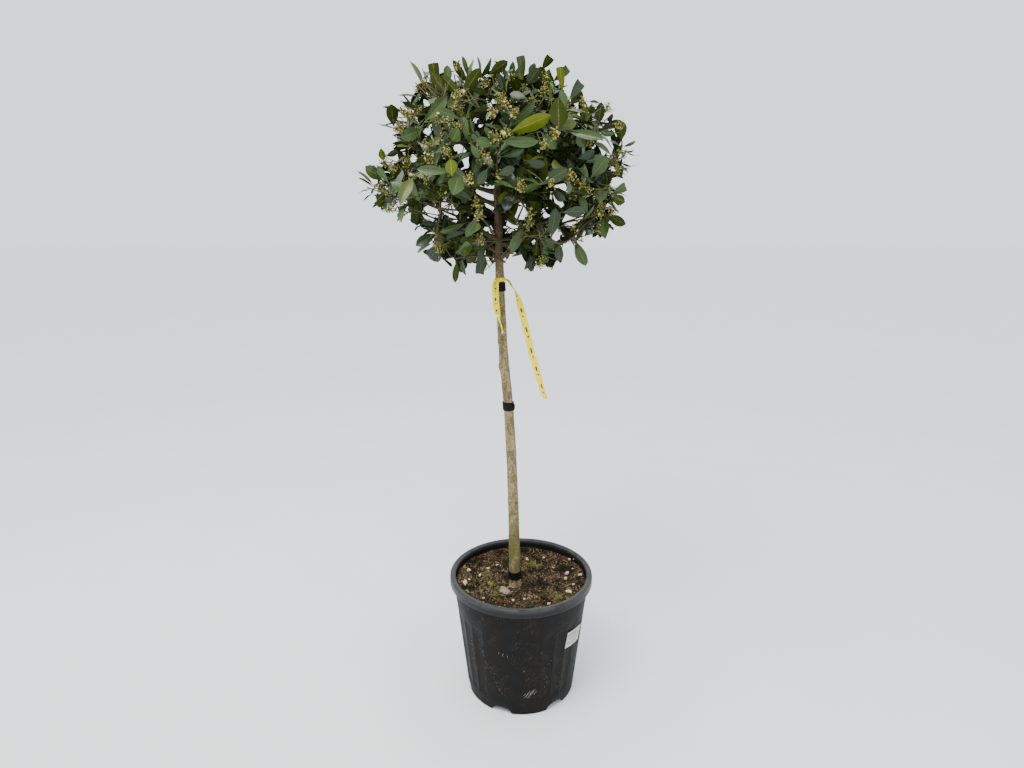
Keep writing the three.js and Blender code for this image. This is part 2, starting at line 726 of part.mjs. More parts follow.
function buildPlant() {
  const plant = new THREE.Group();
  plant.add(named("pot", buildPot(), MATERIALS.plastic));
  plant.add(named("compost", buildCompost(), MATERIALS.compost));
  plant.add(named("pot_label", buildLabel(), MATERIALS.label));
  plant.add(named("stem", buildStem(), MATERIALS.bark));
  for (const band of BANDS) plant.add(named(band.name, buildBand(band), MATERIALS.band));
  const stemClear = solidOf(buildStem(SEAT_GAP));
  plant.add(named("tape_wrap", buildTapeWrap(), MATERIALS.tape));
  plant.add(named("tape_tail", tapeStrip(TAPE_TAIL, 54, -20), MATERIALS.tape));
  plant.add(named("tape_loop", tapeStrip(TAPE_LOOP, 141, 20), MATERIALS.tape));

  const masses = layOutMasses();
  for (const mass of masses) {
    const limb = taperedLimb(mass.path, mass.girth, BOUGH.tipGirth, BOUGH.sides, BOUGH.steps);
    const seated = mass.name === "top" ? limb : geometryOf(largest(solidOf(limb).subtract(stemClear)));
    plant.add(named(`bough_${mass.name}`, seated, MATERIALS.bough));
  }
  const clearance = limbClearanceOf(masses);
  const groups = spreadShoots(masses);
  masses.forEach((mass, i) => {
    const foliage = growMass(masses, mass, groups[i], clearance);
    plant.add(named(`foliage_${mass.name}`, geometryOf(foliage), MATERIALS.foliage));
  });
  return plant;
}

const plant = buildPlant();
export default plant;
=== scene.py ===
"""The finished look of a holly grown as a half standard in a nursery pot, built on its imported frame.

Sizes are millimetres in the part's own frame: +Z up, the viewer on the -Y side, and the origin under the
middle of the pot. They become metres when a mesh is made.
"""
import json
import logging
from collections.abc import Iterable, Sequence
from dataclasses import dataclass, field
from enum import Enum
from math import asin, atan2, cos, degrees, exp, hypot, inf, pi, radians, sin, sqrt, tan

import bmesh
import bpy
import numpy as np
from mathutils import Matrix, Vector, noise

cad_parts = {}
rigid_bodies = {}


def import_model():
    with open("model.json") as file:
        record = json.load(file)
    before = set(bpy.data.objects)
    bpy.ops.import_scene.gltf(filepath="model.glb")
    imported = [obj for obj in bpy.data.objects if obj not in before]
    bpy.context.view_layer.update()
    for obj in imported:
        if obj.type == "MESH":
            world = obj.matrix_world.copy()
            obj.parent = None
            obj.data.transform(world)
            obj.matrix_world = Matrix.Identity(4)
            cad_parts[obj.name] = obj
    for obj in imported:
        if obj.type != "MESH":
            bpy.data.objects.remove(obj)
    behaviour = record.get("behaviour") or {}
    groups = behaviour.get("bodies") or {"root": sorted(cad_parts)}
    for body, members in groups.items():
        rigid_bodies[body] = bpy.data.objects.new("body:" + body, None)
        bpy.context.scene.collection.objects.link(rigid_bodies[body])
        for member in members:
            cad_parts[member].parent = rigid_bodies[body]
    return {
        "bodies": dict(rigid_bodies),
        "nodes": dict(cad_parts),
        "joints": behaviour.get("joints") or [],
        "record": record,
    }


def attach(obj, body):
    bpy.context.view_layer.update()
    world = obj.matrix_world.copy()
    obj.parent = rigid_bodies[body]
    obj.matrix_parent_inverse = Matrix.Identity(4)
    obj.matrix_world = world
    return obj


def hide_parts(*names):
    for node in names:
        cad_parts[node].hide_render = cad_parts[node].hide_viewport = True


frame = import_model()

log = logging.getLogger("holly")
Array = np.ndarray
BMesh = bmesh.types.BMesh
Material = bpy.types.Material
Object = bpy.types.Object
Socket = bpy.types.NodeSocket
norm = np.linalg.norm
ops = bmesh.ops

METRES = 0.001
UP = np.array([0.0, 0.0, 1.0])
GOLDEN_ANGLE = 137.508
VIEWER = np.array([-25.6, -1700.0, 1320.0])


class Tint(Enum):
    """The leaf colours that a spray may have, from the oldest leaves to the youngest."""

    DEEP = "deep"
    DARK = "dark"
    MID = "mid"
    OLIVE = "olive"
    LIME = "lime"


DEEP, DARK, MID, OLIVE, LIME = Tint


class LeafForm(Enum):
    """The outlines that a leaf may have."""

    ENTIRE = "entire"
    POINTED = "pointed"
    CUT = "cut"
    SPINED = "spined"


def srgb(red: float, green: float, blue: float) -> tuple[float, float, float, float]:
    """A colour from 0-255 display values, as the linear values that a shader reads."""
    shown = (red / 255, green / 255, blue / 255)
    return (*(c / 12.92 if c < 10.3 / 255 else ((c + 0.055) / 1.055) ** 2.4 for c in shown), 1.0)


def lightened(color: tuple, gain: float, lift: float = 0.0) -> tuple:
    """A lighter colour, by a factor and an amount added."""
    return (*(min(1.0, c * gain + lift) for c in color[:3]), 1.0)


def chance(*keys: int) -> float:
    """A number from 0 to 1 that depends only on whole numbers, by the source's own rule.

    Args:
        keys: the whole numbers.

    Returns:
        The number, the same in every run.
    """
    mixed = 0x51ED270B
    for key in keys:
        mixed = ((mixed ^ ((key + 0x9E3779B9) & 0xFFFFFFFF)) * 0x85EBCA6B) & 0xFFFFFFFF
        mixed ^= mixed >> 13
    mixed = (mixed * 0xC2B2AE35) & 0xFFFFFFFF
    return (mixed ^ (mixed >> 16)) / 4294967296


def heading(bearing: float, elevation: float = 0.0) -> Array:
    """A unit vector from a bearing round +Z, counted from +X, and an elevation, both in degrees."""
    flat = cos(radians(elevation))
    turn = radians(bearing)
    return np.array([flat * cos(turn), flat * sin(turn), sin(radians(elevation))])


def unit(vector: Array) -> Array:
    """A vector's direction."""
    return vector / max(length_of(vector), 1e-9)


def length_of(vector: Array) -> float:
    """A vector's length."""
    return float(norm(vector))


def cross(first: Array, second: Array) -> Array:
    """The cross product of two vectors, much faster than the general one."""
    (a, b, c), (d, e, f) = first, second
    return np.array([b * f - c * e, c * d - a * f, a * e - b * d])


def square_to(direction: Array) -> tuple[Array, Array]:
    """Two unit vectors square to a direction and to each other."""
    guide = np.array([1.0, 0.0, 0.0]) if abs(direction[2]) > 0.95 else UP
    across = unit(cross(guide, direction))
    return across, cross(direction, across)


def turned(first: Array, second: Array, angle: float) -> Array:
    """A first vector turned towards a second one by an angle in radians."""
    return first * cos(angle) + second * sin(angle)


def off_nearest(bearing: float | Array, first: float, step: float = 360.0) -> float | Array:
    """How far a bearing lies from the nearest of those at equal steps from a first one, in degrees."""
    return (bearing - first + step / 2) % step - step / 2


def lerp(low: float, high: float, share: float) -> float:
    """The value a share of the way from one to another."""
    return low + (high - low) * share


def relief(spot: Sequence[float], size: float) -> float:
    """Smooth noise from about -1 to 1 at a spot in millimetres, with bumps of about the size given."""
    return noise.noise(Vector(spot) / size)


class Shader:
    """A material's node tree, made a node at a time from its pattern to its surface."""

    def __init__(self, name: str) -> None:
        """Starts a material with its surface shader and the object's own coordinates."""
        self.material = bpy.data.materials.new(name)
        self.material.use_nodes = True
        self.tree = self.material.node_tree
        self.surface = self.tree.nodes["Principled BSDF"]
        self.place = self.tree.nodes.new("ShaderNodeTexCoord").outputs["Object"]

    def feed(self, socket: Socket, value: object) -> None:
        """Links a socket to an output, or sets it to a constant."""
        if isinstance(value, Socket):
            self.tree.links.new(value, socket)
        else:
            socket.default_value = value

    def node(self, kind: str, inputs: dict, output: object, **settings: object) -> Socket:
        """Adds a node.

        Args:
            kind: its kind, without the words that all shader nodes' names start with.
            inputs: what is fed to its inputs, by name or number.
            output: the name or number of the output that is used.
            settings: its other settings.

        Returns:
            The output.
        """
        made = self.tree.nodes.new("ShaderNode" + kind)
        for name, value in settings.items():
            setattr(made, name, value)
        for key, value in inputs.items():
            self.feed(made.inputs[key], value)
        return made.outputs[output]

    def noise(self, size: float, detail: float = 3.0, stretch: Sequence[float] = (1, 1, 1)) -> Socket:
        """Noise whose bumps are about a size in millimetres, longer along an axis by its stretch."""
        place = self.node("Mapping", {"Vector": self.place, "Scale": [1 / s for s in stretch]}, "Vector")
        inputs = {"Vector": place, "Scale": 1 / (size * METRES), "Detail": detail}
        return self.node("TexNoise", inputs, "Fac")

    def ranged(
        self, value: object, low: float, high: float, to_low: float = 0.0, to_high: float = 1.0
    ) -> Socket:
        """A value taken smoothly from one range to another."""
        inputs = {"Value": value, "From Min": low, "From Max": high, "To Min": to_low, "To Max": to_high}
        return self.node("MapRange", inputs, "Result", interpolation_type="SMOOTHSTEP")

    def blend(self, share: object, first: object, second: object) -> Socket:
        """A colour between two others."""
        return self.node("Mix", {0: share, 6: first, 7: second}, 2, data_type="RGBA")

    def times(self, first: object, second: object) -> Socket:
        """The product of two values."""
        return self.node("Math", {0: first, 1: second}, 0, operation="MULTIPLY")

    def height_share(self, low: float, high: float) -> Socket:
        """How far up the piece a spot is, between two heights in millimetres."""
        return self.ranged(self.node("SeparateXYZ", {0: self.place}, "Z"), low * METRES, high * METRES)

    def finish(
        self, color: object, roughness: object, bump: object = None, depth: float = 0.0, **more: object
    ) -> Material:
        """Sets the surface.

        Args:
            color: the base colour, linked or constant.
            roughness: the roughness, linked or constant.
            bump: a height from 0 to 1, if the surface has a fine relief.
            depth: the relief's depth in millimetres.
            more: other inputs of the surface shader, by name, with _ for each space.

        Returns:
            The finished material.
        """
        self.feed(self.surface.inputs["Base Color"], color)
        self.feed(self.surface.inputs["Roughness"], roughness)
        if bump is not None:
            more["Normal"] = self.node("Bump", {"Distance": depth * METRES, "Height": bump}, "Normal")
        for name, value in more.items():
            self.feed(self.surface.inputs[name.replace("_", " ")], value)
        return self.material


@dataclass(frozen=True)
class PotPlastic:
    """Weathered black plastic: a brown film in cloudy patches and pale dust in the mottling."""

    base: tuple = srgb(11, 11, 11)
    film: tuple = srgb(28, 24, 19)
    dust: tuple = srgb(56, 52, 45)

    def make(self) -> Material:
        """The material."""
        shader = Shader("pot_plastic")
        cloudy = shader.noise(60, 4, (1, 1, 1.8))
        grain = shader.noise(2.2, 3)
        speckle = shader.noise(3.2, 6, (1, 1, 2.2))
        film = shader.times(shader.ranged(cloudy, 0.4, 0.66), shader.ranged(speckle, 0.3, 0.7, 0.3, 1.0))
        color = shader.blend(film, self.base, self.film)
        specks = shader.ranged(speckle, 0.5, 0.72)
        dusty = shader.times(specks, shader.ranged(shader.noise(34, 3), 0.44, 0.66))
        color = shader.blend(shader.times(dusty, 0.7), color, self.dust)
        roughness = shader.ranged(cloudy, 0.3, 0.7, 0.52, 0.68)
        return shader.finish(color, roughness, grain, 0.12, Specular_IOR_Level=0.12)


@dataclass(frozen=True)
class RimPlastic:
    """The rim of the same plastic, with a painted highlight in mottled patches along its crest."""

    base: tuple = srgb(18, 18, 19)
    # painted highlight: the paler colour the crest is painted where it catches the light
    crest_highlight: tuple = srgb(64, 63, 62)
    crest: float = 348.0

    def make(self) -> Material:
        """The material."""
        shader = Shader("pot_rim_plastic")
        mottled = shader.noise(26, 5, (1, 1, 0.5))
        # Painted highlight: from 12 mm under the crest to its top, the rim is painted paler in mottled
        # patches.
        high = shader.height_share(self.crest - 12, self.crest + 2)
        share = shader.times(high, shader.ranged(mottled, 0.3, 0.7, 0.4, 0.9))
        color = shader.blend(share, self.base, self.crest_highlight)
        roughness = shader.ranged(mottled, 0.3, 0.7, 0.34, 0.46)
        return shader.finish(color, roughness, shader.noise(1.6, 2), 0.06, Specular_IOR_Level=0.22)


@dataclass(frozen=True)
class Earth:
    """Crumbly compost, from nearly black in its hollows to dry brown on its crumbs."""

    name: str
    damp: tuple
    dry: tuple
    grain: float = 4.0
    roughness: float = 0.95

    def make(self) -> Material:
        """The material."""
        shader = Shader(self.name)
        fine = shader.noise(self.grain, 5)
        patchy = shader.noise(self.grain * 9, 3)
        share = shader.times(shader.ranged(fine, 0.35, 0.66), shader.ranged(patchy, 0.38, 0.62, 0.12, 1.0))
        color = shader.blend(share, self.damp, self.dry)
        return shader.finish(color, self.roughness, fine, 0.8, Specular_IOR_Level=0.1)


@dataclass(frozen=True)
class Bark:
    """Smooth thin bark: fine upright mottling, a green film of algae and dark scars."""

    name: str
    pale: tuple
    dark: tuple
    algae: tuple
    algae_top: tuple[float, float]  # the heights between which the algae fade out
    algae_foot: tuple[float, float] = (350.0, 362.0)  # and those between which they set in
    shades: tuple = (((820.0, 1080.0), 0.16), ((1100.0, 1230.0), 0.62))  # heights, and a share of shade
    shaded: tuple = srgb(76, 62, 38)
    scar: tuple = srgb(46, 38, 26)

    def make(self) -> Material:
        """The material."""
        shader = Shader(self.name)
        fine = shader.noise(2.6, 4, (1, 1, 2.2))
        mottled = shader.noise(12, 4, (1, 1, 2.4))
        patchy = shader.noise(42, 3, (1, 1, 2.0))
        wrinkled = shader.noise(4.5, 3, (3.4, 3.4, 0.7))
        specks = shader.ranged(fine, 0.38, 0.6, 0.3, 1.0)
        share = shader.times(specks, shader.ranged(mottled, 0.38, 0.6, 0.35, 1.0))
        color = shader.blend(share, self.dark, self.pale)
        film = shader.ranged(shader.height_share(*self.algae_top), 0.0, 1.0, 1.0, 0.32)
        film = shader.times(film, shader.height_share(*self.algae_foot))
        film = shader.times(film, shader.ranged(patchy, 0.36, 0.56))
        color = shader.blend(film, color, self.algae)
        for heights, share in self.shades:
            color = shader.blend(shader.times(shader.height_share(*heights), share), color, self.shaded)
        lines = shader.times(shader.ranged(wrinkled, 0.56, 0.68), 0.6)
        color = shader.blend(lines, color, self.dark)
        scars = shader.ranged(shader.noise(10, 3, (1, 1, 0.7)), 0.62, 0.7)
        color = shader.blend(shader.times(scars, 0.7), color, self.scar)
        roughness = shader.ranged(mottled, 0.3, 0.7, 0.6, 0.85)
        return shader.finish(color, roughness, fine, 0.4, Specular_IOR_Level=0.3)


@dataclass(frozen=True)
class LeafTop:
    """The glossy upper face of a leaf, a little cloudy and finely puckered."""

    name: str
    base: tuple
    roughness: float = 0.3
    clouding: float = 0.3

    def make(self) -> Material:
        """The material."""
        shader = Shader(self.name)
        cloudy = shader.ranged(shader.noise(24, 3), 0.3, 0.75, 0.0, self.clouding)
        color = shader.blend(cloudy, self.base, lightened(self.base, 1.5, 0.004))
        low, high = self.roughness - 0.05, self.roughness + 0.08
        roughness = shader.ranged(shader.noise(9, 2), 0.3, 0.7, low, high)
        return shader.finish(color, roughness, shader.noise(4, 2), 0.3, Specular_IOR_Level=0.34)


@dataclass(frozen=True)
class Matte:
    """A dull surface with a slight mottling, for undersides, ribs, petals, stones and moss."""

    name: str
    base: tuple
    other: tuple
    mottle: float = 6.0
    roughness: float = 0.6
    depth: float = 0.2
    gloss: float = 0.3

    def make(self) -> Material:
        """The material."""
        shader = Shader(self.name)
        mottled = shader.noise(self.mottle, 4)
        color = shader.blend(shader.ranged(mottled, 0.35, 0.65), self.base, self.other)
        roughness = shader.ranged(mottled, 0.3, 0.7, self.roughness - 0.06, self.roughness + 0.06)
        return shader.finish(color, roughness, mottled, self.depth, Specular_IOR_Level=self.gloss)


@dataclass(frozen=True)
class TapePlastic:
    """Thin glossy plastic tape: creased lengthwise, a little dulled by dirt."""

    base: tuple = srgb(255, 232, 14)
    soiled: tuple = srgb(218, 192, 22)

    def make(self) -> Material:
        """The material."""
        shader = Shader("tape_plastic")
        dirt = shader.noise(14, 4)
        color = shader.blend(shader.ranged(dirt, 0.42, 0.75, 0.0, 0.7), self.base, self.soiled)
        roughness = shader.ranged(dirt, 0.3, 0.7, 0.34, 0.48)
        return shader.finish(color, roughness, shader.noise(3, 2, (1, 1, 4)), 0.25, Specular_IOR_Level=0.25)


@dataclass(frozen=True)
class Pattern:
    """A small shape that is repeated, as its points and its faces' corners laid end to end."""

    points: Array
    corners: Array
    sizes: Array
    marks: Array

    @classmethod
    def taken_from(cls, bm: BMesh) -> "Pattern":
        """The pattern of a finished bmesh, which is freed."""
        bm.verts.index_update()
        points = np.array([v.co[:] for v in bm.verts])
        corners = np.array([v.index for face in bm.faces for v in face.verts])
        sizes = np.array([len(face.verts) for face in bm.faces])
        marks = np.array([face.material_index for face in bm.faces])
        bm.free()
        return cls(points, corners, sizes, marks)


class Pile:
    """Many small shapes gathered into one mesh from arrays."""

    def __init__(self) -> None:
        """Starts empty."""
        self.points: list[Array] = []
        self.corners: list[Array] = []
        self.sizes: list[Array] = []
        self.marks: list[Array] = []
        self.count = 0

    def add(self, pattern: Pattern, points: Array, mark: int = 0) -> None:
        """Adds one shape.

        Args:
            pattern: the shape whose faces are used.
            points: its points where this copy stands, in millimetres.
            mark: what is added to each face's material number.
        """
        self.points.append(points)
        self.corners.append(pattern.corners + self.count)
        self.sizes.append(pattern.sizes)
        self.marks.append(pattern.marks + mark)
        self.count += len(points)

    def build(self, name: str, materials: Sequence[Material], crease: float = 50.0) -> Object:
        """The joined mesh as an object.

        Args:
            name: its name.
            materials: its materials, by number.
            crease: the angle past which an edge is drawn sharp, in degrees.

        Returns:
            The object, in metres.
        """
        mesh = bpy.data.meshes.new(name)
        corners = np.concatenate(self.corners).astype(np.int32)
        sizes = np.concatenate(self.sizes).astype(np.int32)
        mesh.vertices.add(self.count)
        mesh.vertices.foreach_set("co", (np.concatenate(self.points) * METRES).astype(np.float32).ravel())
        mesh.loops.add(len(corners))
        mesh.loops.foreach_set("vertex_index", corners)
        mesh.polygons.add(len(sizes))
        starts = np.concatenate(([0], np.cumsum(sizes)[:-1]))
        mesh.polygons.foreach_set("loop_start", starts.astype(np.int32))
        mesh.polygons.foreach_set("material_index", np.concatenate(self.marks).astype(np.int32))
        mesh.polygons.foreach_set("use_smooth", np.ones(len(sizes), dtype=bool))
        mesh.update(calc_edges=True)
        mesh.validate()
        mesh.set_sharp_from_angle(angle=radians(crease))
        return placed(name, mesh, materials)


def placed(name: str, mesh: bpy.types.Mesh, materials: Sequence[Material]) -> Object:
    """A mesh with its materials as an object in the scene."""
    for material in materials:
        mesh.materials.append(material)
    item = bpy.data.objects.new(name, mesh)
    bpy.context.scene.collection.objects.link(item)
    return item


def modelled(
    name: str, bm: BMesh, materials: Sequence[Material], crease: float = 35.0
) -> Object:
    """A finished bmesh in millimetres as an object, smooth but for edges past a crease in degrees."""
    ops.recalc_face_normals(bm, faces=bm.faces[:])
    ops.scale(bm, vec=(METRES,) * 3, verts=bm.verts[:])
    mesh = bpy.data.meshes.new(name)
    for face in bm.faces:
        face.smooth = True
    bm.to_mesh(mesh)
    bm.free()
    mesh.set_sharp_from_angle(angle=radians(crease))
    return placed(name, mesh, materials)


def declare(item: Object, slot: str, *nodes: str) -> None:
    """Makes a piece ride on the plant, in place of the frame's nodes."""
    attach(item, "root")
    if nodes:
        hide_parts(*nodes)
    log.info("%s: %d faces", item.name, len(item.data.polygons))


def spun(profile: Sequence[Sequence[float]], steps: int, closed: bool = True) -> BMesh:
    """A solid of revolution about +Z.

    Args:
        profile: points of radius and height, in order.
        steps: how many steps make the full turn.
        closed: True joins the last point to the first.

    Returns:
        The bmesh, with the doubles on its axis merged.
    """
    bm = bmesh.new()
    rings = [bm.verts.new((radius, 0.0, height)) for radius, height in profile]
    edges = [bm.edges.new(pair) for pair in zip(rings, rings[1:])]
    if closed:
        edges.append(bm.edges.new((rings[-1], rings[0])))
    ops.spin(
        bm, geom=rings + edges, cent=(0, 0, 0), axis=(0, 0, 1), angle=2 * pi, steps=steps, use_merge=True
    )
    ops.remove_doubles(bm, verts=bm.verts[:], dist=1e-4)
    ops.dissolve_degenerate(bm, dist=1e-5, edges=bm.edges[:])
    return bm


def arc(centre: tuple[float, float], radius: float, start: float, end: float, steps: int) -> list[tuple]:
    """Points of a round corner in a profile, between two angles in degrees."""
    turns = [radians(lerp(start, end, i / steps)) for i in range(steps + 1)]
    return [(centre[0] + radius * cos(t), centre[1] + radius * sin(t)) for t in turns]


@dataclass
class Pot:
    """The nursery pot: fluted wall, smooth band, rolled rim, and a foot ring with drainage arches."""

    height: float = 351.0
    base_radius: float = 152.0
    taper: float = 0.112
    wall: float = 3.0
    rim_radius: float = 200.0
    rim_foot: float = 327.0
    rim_round: float = 5.5
    mouth_radius: float = 184.5
    band_foot: float = 273.0
    band_step: float = 0.5
    flute_zones: int = 4
    flute_first: float = -54.0
    flute_spacing: float = 12.0
    flute_depth: float = 2.2
    flute_ends: tuple[float, float] = (40.0, 258.0)
    arches: int = 6
    arch_first: float = 8.5
    arch_half: float = 29.0
    arch_height: float = 16.0
    arch_reach: float = 46.0
    foot_height: float = 24.0
    flakes: int = 22  # specks in a streak of dust
    flake_width: float = 0.7
    scuff_width: float = 1.4
    steps: int = 360

    def wall_radius(self, height: float) -> float:
        """The outside radius of the plain wall at a height."""
        return self.base_radius + self.taper * height

    def _profile(self) -> list[tuple]:
        """The wall's closed outline, from the middle of its underside up the outside and down the inside."""
        low, high = self.flute_ends
        outer = [(0.0, 0.0), (60.0, 0.0), (self.base_radius - self.arch_reach, 0.0)]
        outer += [(self.base_radius - self.arch_reach + 3, 0.0), (self.base_radius - 20, 0.0)]
        outer += arc((self.wall_radius(4) - 4, 4.0), 4.0, -90, 0, 4)
        heights = [10, 16, 24, 32, low, low + 3, low + 7, low + 12]
        heights += [lerp(low + 12, high - 12, i / 14) for i in range(1, 14)]
        heights += [high - 12, high - 7, high - 3, high, self.band_foot - 4]
        outer += [(self.wall_radius(h), h) for h in heights]
        foot = self.wall_radius(self.band_foot)
        outer += [(foot, self.band_foot - 1.5), (foot + self.band_step, self.band_foot + 1.5)]
        outer += [(self.wall_radius(h) + self.band_step, h) for h in (285, 300, 315, self.rim_foot - 0.6)]
        rim, top = self.rim_radius, self.height
        outer += arc((rim - 3, self.rim_foot + 3), 3.0, -80, 0, 4)
        outer += arc((rim - self.rim_round, top - self.rim_round), self.rim_round, 0, 90, 8)
        outer += [(rim - 9.5, top - 0.6), (rim - 12, top - 1.6)]
        outer += arc((self.mouth_radius + 2.5, top - 4.5), 2.5, 80, 180, 5)
        levels = (self.rim_foot - 2, 312, 240, 120, self.foot_height)
        inner = [(self.wall_radius(h) - self.wall, h) for h in levels]
        return outer + inner + [(105.0, 20.0), (88.0, 4.0), (0.0, 4.0)]

    def flute(self, bearing: float) -> float:
        """How far a flute sinks at a bearing, as a share of its depth."""
        apart = off_nearest(bearing, self.flute_first, 360 / self.flute_zones)
        nearest = max(-1, min(1, round(apart / self.flute_spacing))) * self.flute_spacing
        share = max(0.0, 1 - (abs(apart - nearest) / (self.flute_spacing * 0.46)) ** 2)
        return share**0.8

    def _arch(self, bearing: float) -> float:
        """The height of the drainage arch over a bearing, or 0."""
        apart = off_nearest(bearing, self.arch_first, 360 / self.arches)
        along = radians(apart) * self.base_radius / self.arch_half
        return self.arch_height * sqrt(max(0.0, 1 - along * along))

    def _shape(self, vertex: bmesh.types.BMVert) -> None:
        """Sinks the flutes and lifts the foot over the arches."""
        x, y, z = vertex.co
        radius = hypot(x, y)
        bearing = degrees(atan2(y, x))
        low, high = self.flute_ends
        if radius > self.wall_radius(z) - 1 and low <= z <= high:
            ends = min(1.0, (z - low) / 12, (high - z) / 12)
            sunk = 1 - self.flute_depth * self.flute(bearing) * sin(ends * pi / 2) / radius
            vertex.co.x, vertex.co.y = x * sunk, y * sunk
        if z < self.foot_height and radius > self.base_radius - self.arch_reach + 1:
            lift = self._arch(bearing)
            vertex.co.z = lift + z * (self.foot_height - lift) / self.foot_height

    def build(self) -> None:
        """Makes the pot's mesh."""
        bm = spun(self._profile(), self.steps)
        for vertex in bm.verts:
            self._shape(vertex)
        for face in bm.faces:
            face.material_index = int(face.calc_center_median().z > self.rim_foot - 1)
        item = modelled("nursery_pot", bm, [PotPlastic().make(), RimPlastic().make()], 28.0)
        declare(item, "pot_plastic", "pot")
        self._scuffs()

    def _scuffs(self) -> None:
        """Rubbed marks and specks of dust on the wall, as thin flakes."""
        dice = np.random.default_rng(7)
        marks = [(*mark, self.scuff_width) for mark in SCUFFS]
        for low, high in DUST_STREAKS:
            for _ in range(self.flakes):
                share = dice.random()
                bearing, height = lerp(low[0], high[0], share), lerp(low[1], high[1], share)
                aside, above = dice.normal(size=2) * (1.8, 6.0)
                length, slant = dice.uniform(1.0, 3.4), dice.uniform(-30, 30)
                marks.append((bearing + aside, height + above, length, slant, self.flake_width))
        bm = bmesh.new()
        for bearing, height, length, slant, width in marks:
            made = ops.create_grid(bm, x_segments=2, y_segments=3, size=0.5)["verts"]
            turn = radians(slant)
            for vertex in made:
                x, y = vertex.co.x * width * (1 - abs(vertex.co.y)), vertex.co.y * length
                across = x * cos(turn) + y * sin(turn)
                z = height + y * cos(turn) - x * sin(turn)
                radius = self.wall_radius(z) + 0.25
                spot = radians(bearing) + across / radius
                radius -= self.flute_depth * self.flute(degrees(spot))
                vertex.co = (radius * cos(spot), radius * sin(spot), z)
        ops.solidify(bm, geom=bm.faces[:], thickness=-0.15)
        dust = Matte("scuff_dust", srgb(150, 148, 142), srgb(66, 63, 58), 2.2, 0.8, 0.1).make()
        declare(modelled("pot_scuffs", bm, [dust]), "pot_plastic", "pot")


# Marks on the pot's wall: bearing, height, length and slant, in degrees and millimetres.
SCUFFS = (
    (-87.0, 70, 9, 34), (-85.4, 66, 15, 31), (-83.6, 73, 22, 27), (-81.9, 70, 27, 29), (-80.3, 74, 24, 26),
    (-78.6, 78, 19, 28), (-77.0, 72, 12, 25), (-75.2, 77, 8, 27), (-82.8, 61, 7, 30), (-110.2, 202, 8, 14),
    (-106.6, 199, 11, 12), (-102.6, 195, 7, 13), (-73.0, 205, 3.0, 30), (-88.0, 150, 6, 20),
)
# Streaks of dust on the wall: the bearing and height of each one's ends.
DUST_STREAKS = (
    ((-128, 262), (-124, 130)), ((-121, 150), (-109, 66)), ((-62, 180), (-66, 60)), ((-46, 120), (-52, 40)),
    ((-140, 240), (-142, 90)), ((60, 220), (66, 80)), ((130, 200), (124, 60)), ((-8, 210), (-4, 90)),
    ((172, 180), (176, 60)),
)


@dataclass
class Sticker:
    """The paper label on the pot, with plain bars in place of any text."""

    width: float = 71.0
    height: float = 48.0
    thickness: float = 0.5
    bearing: float = -35.3
    centre_height: float = 210.0
    tilt: float = -6.0
    columns: int = 36
    rows: int = 24
    bars = {18: 25, 19: 25, 14: 30, 11: 21}  # a plain bar's row, and the column where it ends

    def _is_ink(self, column: int, row: int) -> bool:
        """True where a bar or one of the upright marks is printed."""
        if row in self.bars:
            return 3 <= column < self.bars[row]
        return 4 <= row < 8 and 3 <= column < 23 and column % 5 in (0, 2, 3)

    def build(self, pot: Pot) -> None:
        """Makes the label, bent to the pot's wall and curling a little at one corner."""
        bm = bmesh.new()
        ops.create_grid(bm, x_segments=self.columns, y_segments=self.rows, size=0.5)
        for face in bm.faces:
            middle = face.calc_center_median()
            column = int((middle.x + 0.5) * self.columns)
            row = int((middle.y + 0.5) * self.rows)
            face.material_index = int(self._is_ink(column, row))
        turn = radians(self.tilt)
        for vertex in bm.verts:
            x, y = vertex.co.x * self.width, vertex.co.y * self.height
            curl = max(0.0, vertex.co.x + vertex.co.y - 0.62) ** 2 * 38
            across = x * cos(turn) - y * sin(turn)
            z = self.centre_height + (x * sin(turn) + y * cos(turn))
            bearing = radians(self.bearing) + across / pot.wall_radius(self.centre_height)
            radius = pot.wall_radius(z) + 0.6 + curl
            vertex.co = (radius * cos(bearing), radius * sin(bearing), z)
        ops.solidify(bm, geom=bm.faces[:], thickness=-self.thickness)
        paper = Matte("label_paper", srgb(196, 195, 190), srgb(174, 172, 164), 18, 0.6, 0.1).make()
        ink = Matte("label_ink", srgb(92, 92, 95), srgb(112, 111, 110), 9, 0.6, 0.1).make()
        declare(modelled("pot_label_paper", bm, [paper, ink]), "label_paper", "pot_label")


